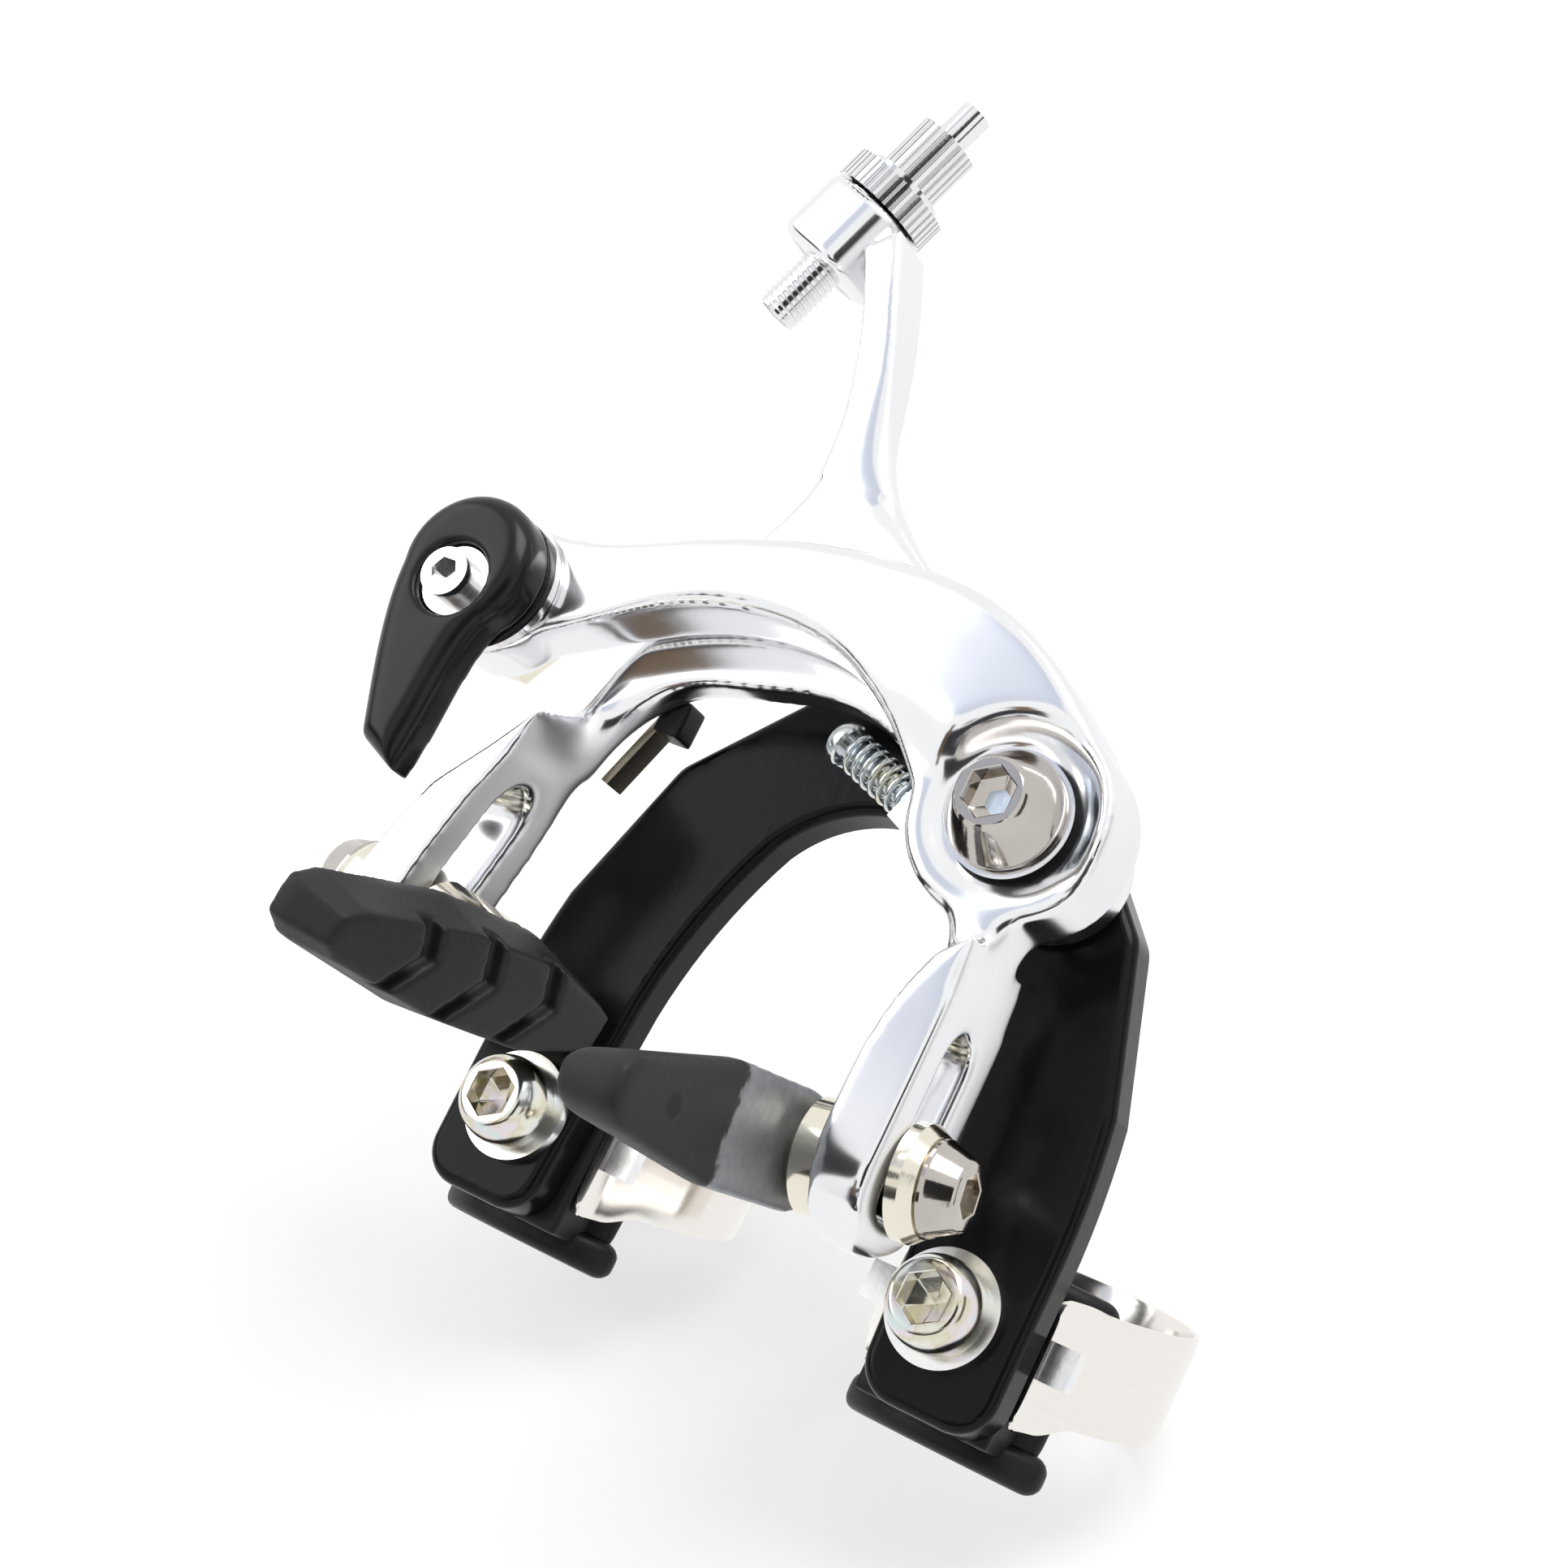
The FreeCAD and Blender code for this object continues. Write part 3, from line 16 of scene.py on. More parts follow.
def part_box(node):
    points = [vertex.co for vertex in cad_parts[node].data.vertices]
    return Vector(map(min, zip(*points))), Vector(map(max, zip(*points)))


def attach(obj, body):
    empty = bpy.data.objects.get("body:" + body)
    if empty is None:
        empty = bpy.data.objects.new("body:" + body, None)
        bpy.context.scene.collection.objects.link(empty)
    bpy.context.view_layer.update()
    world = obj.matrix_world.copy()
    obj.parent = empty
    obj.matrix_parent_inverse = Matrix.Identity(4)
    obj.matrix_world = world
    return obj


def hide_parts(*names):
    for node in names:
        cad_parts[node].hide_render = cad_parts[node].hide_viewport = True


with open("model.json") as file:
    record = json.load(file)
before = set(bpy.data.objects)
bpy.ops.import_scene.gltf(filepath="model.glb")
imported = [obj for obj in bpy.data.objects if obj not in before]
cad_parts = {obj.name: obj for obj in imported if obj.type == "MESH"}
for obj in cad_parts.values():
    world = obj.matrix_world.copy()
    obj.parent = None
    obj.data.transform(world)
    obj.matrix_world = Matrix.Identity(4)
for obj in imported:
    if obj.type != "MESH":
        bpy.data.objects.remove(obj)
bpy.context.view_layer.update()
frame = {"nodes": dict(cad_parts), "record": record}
nodes = frame["nodes"]
MM = 0.001

# %% [markdown]
# The camera stands low at the front right and looks up the caliper's open side.
# A camera could be aimed with a tracking constraint, but three unit vectors place it exactly and leave nothing
# to solve, so its right, up and back directions are written as the columns of its matrix.

# %% Camera
camera_data = bpy.data.cameras.new("camera")
camera = bpy.data.objects.new("camera", camera_data)
bpy.context.scene.collection.objects.link(camera)
camera_data.sensor_width = 36.0
camera_data.lens = 62.235
camera_data.clip_start = 0.01
camera_data.clip_end = 20.0
camera_right = Vector((0.81091, 0.38600, 0.43980))
camera_up = Vector((-0.30271, -0.36648, 0.87980))
camera_back = Vector((0.50078, -0.84658, -0.18034))
camera_place = Vector((134.685, -255.124, -69.375)) * MM
camera_turn = Matrix((camera_right, camera_up, camera_back)).transposed().to_4x4()
camera.matrix_world = Matrix.Translation(camera_place) @ camera_turn
bpy.context.scene.camera = camera
print("camera at", tuple(round(c, 4) for c in camera_place))

# %% [markdown]
# A finish is a small network of shader nodes. It can be clicked together by hand, but a sum such as
# 0.1 + 0.05 * grain says the same thing in one readable line. The two classes below let Python write the
# network: Wire is one output socket with the signs of arithmetic, and Finish owns a material and makes
# every node in one method.

# %% Shader helpers
class Wire:
    """One output socket. Arithmetic on it adds a Math node and gives back that node's output."""

    def __init__(self, finish, socket):
        self.finish = finish
        self.socket = socket

    def math(self, operation, first, second):
        return self.finish.node("ShaderNodeMath", {"operation": operation}, {0: first, 1: second})

    def __add__(self, other):
        return self.math("ADD", self, other)

    def __sub__(self, other):
        return self.math("SUBTRACT", self, other)

    def __rsub__(self, other):
        return self.math("SUBTRACT", other, self)

    def __mul__(self, other):
        return self.math("MULTIPLY", self, other)

    def __pow__(self, other):
        return self.math("POWER", self, other)

    __radd__ = __add__
    __rmul__ = __mul__


class Finish:
    """A material around one Principled shader. node() makes any other node: settings first, then sockets."""

    def __init__(self, name, **constants):
        self.material = bpy.data.materials.new(name)
        self.material.use_nodes = True
        self.tree = self.material.node_tree
        self.shader = self.tree.nodes["Principled BSDF"]
        self.place = self.node("ShaderNodeTexCoord", output="Object")
        for socket, value in constants.items():
            self.shader.inputs[socket.replace("_", " ")].default_value = value

    def node(self, kind, settings={}, sockets={}, output=0):
        made = self.tree.nodes.new(kind)
        for name, value in settings.items():
            if name == "stops":
                while len(made.color_ramp.elements) < len(value):
                    made.color_ramp.elements.new(0.5)
                for element, (position, colour) in zip(made.color_ramp.elements, value):
                    element.position = position
                    element.color = (*colour, 1.0)
            else:
                setattr(made, name, value)
        for name, value in sockets.items():
            if isinstance(value, Wire):
                self.tree.links.new(value.socket, made.inputs[name])
            else:
                made.inputs[name].default_value = value
        return Wire(self, made.outputs[output])

    def feed(self, socket, wire):
        self.tree.links.new(wire.socket, self.shader.inputs[socket])
        return self

    def stretched(self, x, y, z):
        return self.node("ShaderNodeMapping", {}, {"Vector": self.place, "Scale": (x, y, z)})

    def grain(self, scale, detail=3.0, where=None, roughness=0.5):
        """Cloudy noise from 0 to 1; scale counts its lumps along one metre."""
        sockets = {"Vector": where or self.place, "Scale": scale, "Detail": detail, "Roughness": roughness}
        return self.node("ShaderNodeTexNoise", {}, sockets)

    def blend(self, factor, first, second):
        """A colour between two colours."""
        first, second = [(*end, 1.0) if isinstance(end, tuple) else end for end in (first, second)]
        return self.node("ShaderNodeMix", {"data_type": "RGBA"}, {0: factor, 6: first, 7: second}, output=2)

    def ramp(self, factor, stops):
        return self.node("ShaderNodeValToRGB", {"stops": stops}, {0: factor})

    def bump(self, height, depth, strength=1.0):
        """Fine relief: depth is the height of the tallest lump in metres."""
        relief = {"Height": height, "Distance": depth, "Strength": strength}
        self.feed("Normal", self.node("ShaderNodeBump", {}, relief))
        return self


def dress(names, finish):
    for name in names:
        mesh = nodes[name].data
        mesh.materials.clear()
        mesh.materials.append(finish.material)
    print(finish.material.name, "on", ", ".join(names))


# %% [markdown]
# The arms are forged alloy that was ground and buffed to a mirror. A real buffed surface isn't perfectly even:
# it has long soft waves from the wheel and a faint haze in places. A metal with a low roughness that drifts a
# little, over a very shallow slow relief, bends the reflections as buffing does.
# A flat face towards +X would mirror one even patch. There the normal is leaned forwards by up to 0.30 and the
# roughness rises, so that the face takes softer light.

# %% Polished alloy
polished = Finish("polished_alloy", Metallic=1.0)
haze = polished.grain(90.0, 4.0)
polished.feed("Base Color", polished.blend(haze, (0.92, 0.92, 0.935), (0.84, 0.85, 0.87)))
facing = polished.node("ShaderNodeNewGeometry", output="Normal")
split = polished.node("ShaderNodeSeparateXYZ", {}, {0: facing})
outward = polished.node("ShaderNodeMapRange", {"interpolation_type": "SMOOTHSTEP"},
                        {0: split, 1: 0.55, 2: 0.95, 3: 0.0, 4: -0.30})
polished.feed("Roughness", 0.09 + 0.10 * haze - 0.8 * outward)
lean = polished.node("ShaderNodeCombineXYZ", {}, {1: outward})
crowned = polished.node("ShaderNodeVectorMath", {"operation": "ADD"}, {0: facing, 1: lean})
crowned = polished.node("ShaderNodeVectorMath", {"operation": "NORMALIZE"}, {0: crowned})
waves = polished.grain(55.0, 1.0) + 0.02 * polished.grain(1500.0, 2.0)
buffing = polished.node("ShaderNodeBump", {},
                        {"Height": waves, "Distance": 0.00012, "Strength": 0.35, "Normal": crowned})
polished.feed("Normal", buffing)

# %% [markdown]
# The bracket is pressed steel under gloss black powder coat. Powder melts into a skin with shallow dimples,
# called orange peel, about a millimetre across. Noise at that scale gives the relief, and slower noise lets the
# gloss vary a little, as it does on a cheap coat.

# %% Black powder coat
coat = Finish("black_coat", Specular_IOR_Level=0.14)
patch = coat.grain(60.0, 3.0)
coat.feed("Base Color", coat.blend(patch, (0.003, 0.003, 0.0035), (0.007, 0.007, 0.008)))
coat.feed("Roughness", 0.12 + 0.12 * patch)
coat.bump(coat.grain(620.0, 2.0), 0.00005, 0.5)

# %% [markdown]
# Zinc plate with a yellow or clear passivate shows weak rainbow colours that follow the current in the plating
# bath. A colour ramp read by slow noise walks through those colours.

# %% Zinc plates
def zinc(name, stops, lumps, rough):
    """Plated steel whose colour drifts through the ramp's stops; lumps is how many drifts fit in a metre."""
    plate = Finish(name, Metallic=1.0)
    drift = plate.grain(lumps, 2.0)
    plate.feed("Base Color", plate.ramp(drift, stops))
    plate.feed("Roughness", rough + 0.12 * plate.grain(900.0, 3.0))
    return plate.bump(plate.grain(1400.0, 2.0), 0.00002, 0.4)


gold_stops = [(0.28, (0.72, 0.74, 0.76)), (0.42, (0.80, 0.80, 0.72)), (0.52, (0.70, 0.66, 0.50)),
              (0.60, (0.78, 0.70, 0.74)), (0.72, (0.66, 0.76, 0.74))]
blue_stops = [(0.3, (0.66, 0.74, 0.80)), (0.5, (0.78, 0.82, 0.84)), (0.7, (0.80, 0.80, 0.68))]
pale_stops = [(0.3, (0.84, 0.86, 0.90)), (0.5, (0.90, 0.90, 0.88)), (0.7, (0.86, 0.82, 0.86))]
gold_zinc = zinc("zinc_gold", gold_stops, 240.0, 0.10)
blue_zinc = zinc("zinc_bright", blue_stops, 300.0, 0.14)
pale_zinc = zinc("zinc_pale", pale_stops, 220.0, 0.16)

# %% [markdown]
# The straps are stainless strip. Strip is rolled, so it has fine straight lines along its length. The length
# runs round the tube and every line stays at one height, so noise squeezed flat across +Z draws them.

# %% Rolled strip and spring strip
def rolled(name, light, dark, rough):
    """Strip steel with rolling lines at a constant height."""
    strip = Finish(name, Metallic=1.0)
    lines = strip.grain(1.0, 4.0, strip.stretched(25.0, 25.0, 1800.0))
    strip.feed("Base Color", strip.blend(lines, light, dark))
    strip.feed("Roughness", rough + 0.10 * lines)
    return strip.bump(lines, 0.000006, 0.3)


strap_steel = rolled("strap_steel", (0.89, 0.86, 0.82), (0.85, 0.82, 0.78), 0.12)
spring_steel = rolled("spring_steel", (0.62, 0.56, 0.44), (0.42, 0.38, 0.30), 0.18)

# %% [markdown]
# Turned steel parts are nickel plated. The lathe leaves rings about a fifth of a millimetre apart, which plating
# softens. Each part turns about its own axis, so a ring pattern would need one centre for each. Fine even noise
# at the same scale looks the same after plating and needs no centre.

# %% Nickel, bright chrome and brass
def turned(name, light, dark, rough):
    """Plated turned steel with a soft fine grain."""
    metal = Finish(name, Metallic=1.0)
    fine = metal.grain(2400.0, 2.0)
    slow = metal.grain(180.0, 2.0)
    metal.feed("Base Color", metal.blend(slow, light, dark))
    metal.feed("Roughness", rough + 0.07 * fine)
    return metal.bump(fine, 0.000012, 0.35)


dark_nickel = turned("dark_nickel", (0.62, 0.58, 0.54), (0.46, 0.43, 0.40), 0.07)
bright_chrome = turned("silver_chrome", (0.90, 0.90, 0.90), (0.78, 0.78, 0.79), 0.08)
cream_chrome = turned("cream_chrome", (0.88, 0.84, 0.72), (0.78, 0.74, 0.62), 0.10)
brass = turned("brass", (0.86, 0.70, 0.36), (0.70, 0.54, 0.26), 0.14)

# %% [markdown]
# Rubber and nylon are moulded. The blocks came out of a spark-eroded mould, which leaves a fine even tooth, so
# they look satin grey-black. The rubber of the cradles is smoother, and the quick-release lever is painted gloss
# black over a cast body.

# %% Rubber, nylon and gloss black
rubber = Finish("brake_rubber", Specular_IOR_Level=0.30)
tooth = rubber.grain(2600.0, 2.0)
bloom = rubber.grain(120.0, 3.0)
rubber.feed("Base Color", rubber.blend(bloom, (0.008, 0.008, 0.009), (0.015, 0.015, 0.017)))
rubber.feed("Roughness", 0.40 + 0.22 * tooth)
rubber.bump(tooth, 0.00003, 0.6)

nylon = Finish("black_nylon", Specular_IOR_Level=0.25)
speck = nylon.grain(1800.0, 2.0)
nylon.feed("Base Color", nylon.blend(speck, (0.005, 0.005, 0.006), (0.010, 0.010, 0.011)))
nylon.feed("Roughness", 0.30 + 0.20 * speck)
nylon.bump(speck, 0.00002, 0.5)

gloss = Finish("lever_black", Specular_IOR_Level=0.26)
cloud = gloss.grain(90.0, 2.0)
gloss.feed("Base Color", gloss.blend(cloud, (0.005, 0.005, 0.006), (0.010, 0.010, 0.011)))
gloss.feed("Roughness", 0.17 + 0.12 * cloud)
gloss.bump(gloss.grain(900.0, 2.0), 0.00002, 0.4)

# %% [markdown]
# The back end of one block has lost its rubber, so scuffed steel shows there, and its side has a small round
# hole. Both are drawn in the finish, because neither changes the outline. A soft step along +Y, with noise added
# so that its edge isn't straight, chooses between rubber and steel. The hole is painted shade: a near-black disc
# where the distance from its centre, across Y and Z, is under its radius, stands in for the shadow inside it.

# %% Worn block and painted hole shade
worn_and_hole_shade = Finish("worn_block_back_and_hole_shade", Specular_IOR_Level=0.30)
along_y = worn_and_hole_shade.node("ShaderNodeSeparateXYZ", {}, {0: worn_and_hole_shade.place}, output=1)
along_z = worn_and_hole_shade.node("ShaderNodeSeparateXYZ", {}, {0: worn_and_hole_shade.place}, output=2)
edge = worn_and_hole_shade.grain(420.0, 4.0)
bare = worn_and_hole_shade.node("ShaderNodeMapRange", {"interpolation_type": "SMOOTHSTEP"},
                 {0: along_y + 0.006 * edge, 1: -0.0285, 2: -0.0270})
scratch = worn_and_hole_shade.grain(700.0, 6.0, roughness=0.7)
steel = worn_and_hole_shade.blend(scratch, (0.42, 0.43, 0.45), (0.22, 0.23, 0.25))
hole_y, hole_z = 0.0425, 0.0552
hole_away = ((along_y + hole_y) ** 2.0 + (along_z + hole_z) ** 2.0) ** 0.5
# Painted shade: the hole is a near-black disc in the colour, which stands in for the shadow inside it.
outside_painted_hole_shade = worn_and_hole_shade.node("ShaderNodeMapRange", {"interpolation_type": "SMOOTHSTEP"},
                      {0: hole_away, 1: 0.00115, 2: 0.00140})
skin_with_painted_hole_shade = worn_and_hole_shade.blend(outside_painted_hole_shade, (0.0005, 0.0005, 0.0005), (0.014, 0.014, 0.0155))
worn_and_hole_shade.feed("Base Color", worn_and_hole_shade.blend(bare, skin_with_painted_hole_shade, steel))
worn_and_hole_shade.feed("Metallic", bare)
worn_and_hole_shade.feed("Roughness", 0.46 + 0.14 * scratch)
worn_and_hole_shade.bump(worn_and_hole_shade.grain(2600.0, 2.0) + 0.5 * scratch, 0.00003, 0.6)

# %% [markdown]
# Each ready-made part now takes one finish. Later cells hide some of these parts behind finer surfaces, but
# every part is dressed, so that none is left plain if its finer surface is taken out.

# %% Dress the ready-made parts
dress(["adjuster_arm", "lever_arm"], polished)
dress(["bracket_plate"], coat)
dress(["clamp_screws", "rear_nut", "mounting_bolt"], gold_zinc)
dress(["clamp_washers", "seat_washer", "rear_washer", "anchor_washer", "bridge_plate", "strap_carriers"], pale_zinc)
dress(["centring_screw", "centring_spring", "side_pivot_stud", "hub_bush"], blue_zinc)
dress(["straps"], strap_steel)
dress(["return_spring"], spring_steel)
dress(["pivot_nut", "left_nut", "right_nut"], dark_nickel)
dress(["adjuster_barrel", "lock_ring", "cable_ferrule", "wave_washer", "cam_disc", "anchor_bolt",
       "pivot_washer"], bright_chrome)
dress(["left_cupped_washers", "right_cupped_washers", "left_stud", "right_stud", "anchor_nut"], cream_chrome)
dress(["brass_spacer"], brass)
dress(["left_block_holder"], rubber)
dress(["right_block_holder"], worn_and_hole_shade)
dress(["left_brake_block", "right_brake_block", "rubber_liners"], rubber)
dress(["saddle_blocks", "spring_clip"], nylon)
dress(["release_lever"], gloss)

# %% [markdown]
# Forged and buffed parts have no sharp edges. Bevelling each edge by hand would take long, so each such part is
# copied, its loose triangles are welded, and the copy is rebuilt on an even grid of small faces. Averaging every
# point with its neighbours a few times then rounds the edges evenly, as buffing does.

# %% Buffed copies
def neighbour_mean(points, ends, degree):
    """The average of each point's neighbours: both ends of every edge are added up and divided by the count."""
    first = np.concatenate([ends[:, 0], ends[:, 1]])
    second = np.concatenate([ends[:, 1], ends[:, 0]])
    total = [np.bincount(first, weights=points[second, axis], minlength=len(points)) for axis in range(3)]
    return np.stack(total, axis=1) / degree[:, None]


def buffed(names, body, finish, cell, passes, move=None, softer=()):
    """A welded, evenly gridded and smoothed copy of one part, or of several that are moulded together.

    cell is the grid's step in metres. move changes the points before smoothing. softer lists (centre, radius,
    extra passes) in millimetres: there the points are averaged more, with a weight of exp(-(distance / radius)^2).
    """
    together = bmesh.new()
    for name in names:
        together.from_mesh(nodes[name].data)
    bmesh.ops.remove_doubles(together, verts=together.verts, dist=0.000002)
    mesh = bpy.data.meshes.new(names[0] + "_buffed")
    together.to_mesh(mesh)
    together.free()
    piece = bpy.data.objects.new(mesh.name, mesh)
    bpy.context.scene.collection.objects.link(piece)
    for other in bpy.context.selected_objects:
        other.select_set(False)
    piece.select_set(True)
    bpy.context.view_layer.objects.active = piece
    grid = piece.modifiers.new("grid", "REMESH")
    grid.mode = "VOXEL"
    grid.voxel_size = cell
    bpy.ops.object.modifier_apply(modifier="grid")
    mesh = piece.data
    points = np.empty(len(mesh.vertices) * 3)
    mesh.vertices.foreach_get("co", points)
    points = points.reshape(-1, 3)
    if move:
        points = move(points)
    ends = np.empty(len(mesh.edges) * 2, dtype=np.int64)
    mesh.edges.foreach_get("vertices", ends)
    ends = ends.reshape(-1, 2)
    degree = np.bincount(ends.ravel(), minlength=len(points)).astype(float)
    for step in range(passes):
        points = points + 0.6 * (neighbour_mean(points, ends, degree) - points)
    for centre, radius, extra in softer:
        away = np.linalg.norm(points - np.array(centre) * MM, axis=1) / (radius * MM)
        weight = 0.6 * np.exp(-away ** 2)[:, None]
        for step in range(extra):
            points = points + weight * (neighbour_mean(points, ends, degree) - points)
    mesh.vertices.foreach_set("co", points.ravel())
    mesh.update()
    mesh.shade_smooth()
    mesh.materials.clear()
    mesh.materials.append(finish.material)
    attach(piece, body)
    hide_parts(*names)
    print(piece.name, len(mesh.polygons), "faces")
    return piece


def smoothstep(value, low, high):
    """0 below low, 1 above high, and 3t^2 - 2t^3 between them."""
    t = np.clip((value - low) / (high - low), 0.0, 1.0)
    return t * t * (3.0 - 2.0 * t)


def taper_upright(points):
    """The upright starts as thin as the web below it and thickens upwards, about the web's middle plane."""
    middle = -7.05 * MM - 0.35 * MM * smoothstep(points[:, 2], 17 * MM, 42 * MM)
    share = np.where(points[:, 2] > 16.5 * MM, 0.56 + 0.44 * smoothstep(points[:, 2], 18 * MM, 44 * MM), 1.0)
    moved = points.copy()
    moved[:, 1] = middle + (points[:, 1] - middle) * share
    return np.where((points[:, 2] > 16.5 * MM)[:, None], moved, points)


def crown_arch(points):
    """The arch stands forward of the pivot's seat, and a scoop of about 9 mm radius is left round the nut.

    The part is stretched forwards by rise * t^2, where t runs from 0 at its back to 1 at its front.
    """
    x, y, z = points.T / MM
    from_pivot = np.hypot(x - 19.2, z + 13.8)
    above = np.maximum(smoothstep(z + 13.8 + 0.35 * (x - 19.2), -3.0, 4.0), 1.0 - smoothstep(x, -4.0, 9.0))
    rise = 2.3 * smoothstep(from_pivot, 8.3, 10.6) * above * smoothstep(x, -42.0, -24.0)
    t = np.clip((-y - 9.7) / 8.2, 0.0, 1.0)
    seat = -0.7 * (1.0 - smoothstep(from_pivot, 7.6, 9.2)) * smoothstep(t, 0.8, 1.0)
    moved = points.copy()
    moved[:, 1] = (y - (rise + seat) * t * t) * MM
    return moved


buffed(["adjuster_arm"], "rear_arm", polished, 0.0004, 7, taper_upright,
       [((-20, -7, 18), 8, 120), ((-36, -10, -21), 7, 120), ((-33, -7, 46), 4, 40)])
buffed(["lever_arm"], "front_arm", polished, 0.0004, 8, crown_arch,
       [((20, -14, -28), 6, 90), ((-44, -14, -12), 5, 60), ((-10, -19, 3), 16, 26), ((24, -18, -3), 5, 20)])
buffed(["release_lever"], "quick_release", gloss, 0.0003, 8)
buffed(["saddle_blocks"], "bracket", nylon, 0.0004, 5)
buffed(["spring_clip"], "rear_arm", nylon, 0.0002, 9)
buffed(["left_brake_block", "left_block_holder"], "rear_arm", rubber, 0.00032, 7)
buffed(["right_brake_block", "right_block_holder"], "front_arm", worn_and_hole_shade, 0.00032, 10, None,
       [((9, -52, -55), 12, 40)])

# %% [markdown]
# The rubber cradles are pinched between block and tube. Each has a thick rounded lip above and below the strap.
# A lip is a tube bent round the fork tube's axis: a rounded section is carried along an arc and shrinks to
# nothing at both ends. One surface formula gives all four lips, so no modelling by hand is needed.

# %% Surfaces from a grid
def surface(name, grid, body, finish, closed=True):
    """A mesh from an array of points, rows by columns by xyz in millimetres. Columns join up if closed."""
    rows, columns = grid.shape[:2]
    row, column = np.meshgrid(np.arange(rows - 1), np.arange(columns if closed else columns - 1), indexing="ij")
    right = (column + 1) % columns
    quads = np.stack([row * columns + column, row * columns + right,
                      (row + 1) * columns + right, (row + 1) * columns + column], axis=-1).reshape(-1, 4)
    mesh = bpy.data.meshes.new(name)
    faces = quads.tolist()
    if closed:
        faces.append(list(range(columns))[::-1])
        faces.append([(rows - 1) * columns + k for k in range(columns)])
    mesh.from_pydata((grid.reshape(-1, 3) * MM).tolist(), [], faces)
    mesh.update()
    mesh.shade_smooth()
    mesh.set_sharp_from_angle(angle=math.radians(38))
    mesh.materials.append(finish.material)
    piece = bpy.data.objects.new(name, mesh)
    bpy.context.scene.collection.objects.link(piece)
    for other in bpy.context.selected_objects:
        other.select_set(False)
    piece.select_set(True)
    bpy.context.view_layer.objects.active = piece
    bpy.ops.object.mode_set(mode="EDIT")
    bpy.ops.mesh.select_all(action="SELECT")
    bpy.ops.mesh.remove_doubles(threshold=0.000001)
    bpy.ops.mesh.normals_make_consistent(inside=False)
    bpy.ops.object.mode_set(mode="OBJECT")
    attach(piece, body)
    print(name, len(mesh.polygons), "faces")
    return piece


def rounded_section(count, half_across, half_up, power=3.0):
    """A superellipse: each side is the cosine or sine raised to 2 / power, so it lies between an oval and a box."""
    turn = np.linspace(0, 2 * np.pi, count, endpoint=False)
    across = np.sign(np.cos(turn)) * np.abs(np.cos(turn)) ** (2 / power)
    upward = np.sign(np.sin(turn)) * np.abs(np.sin(turn)) ** (2 / power)
    return half_across * across, half_up * upward


clamp_across = frame["record"]["mounts"][2]["pos_m"][0] / MM
clamp_depth = frame["record"]["mounts"][2]["pos_m"][1] / MM
clamp_height = -59.7
liner_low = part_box("rubber_liners")[0][2] / MM
liner_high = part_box("rubber_liners")[1][2] / MM


def lip(name, side, height, reach, radius, half_across, half_up, power):
    """Radius R + across, height z + up, along an arc; the section shrinks as sqrt(1 - s^2) near the ends."""
    s = np.linspace(-1, 1, 61)
    turn = np.radians(reach) * s
    near_end = np.clip((np.abs(s) - 0.84) / 0.16, 0, 1)
    swell = np.sqrt(np.clip(1 - near_end ** 2, 0, 1)) + 0.001
    across, upward = rounded_section(24, half_across, half_up, power)
    around = radius + across[None, :] * swell[:, None]
    grid = np.stack([side * clamp_across + around * np.sin(turn)[:, None],
                     clamp_depth - around * np.cos(turn)[:, None],
                     height + upward[None, :] * swell[:, None]], axis=-1)
    return surface(name, grid, "bracket", nylon)


for side, word in ((-1, "left"), (1, "right")):
    lip(word + "_lower_lip", side, liner_low + 2.4, 50, 14.6, 2.0, 2.1, 3.0)
    lip(word + "_upper_lip", side, liner_high - 2.4, 52, 14.4, 1.7, 2.1, 3.0)
    wall = lip(word + "_cradle_wall", side, (liner_low + liner_high) / 2, 46, 13.85, 1.1, 10.0, 6.0)
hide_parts("rubber_liners")

# %% [markdown]
# Each strap is one length of thin strip. It runs round the tube, comes forward beside the block, and its end is
# cut wider at the bottom with round corners. The path is worked out from its heading: the strip turns steadily
# round the tube, runs straight, and then turns back to lie flat on the block. Adding up the small steps gives
# the places, which is how a turtle draws.

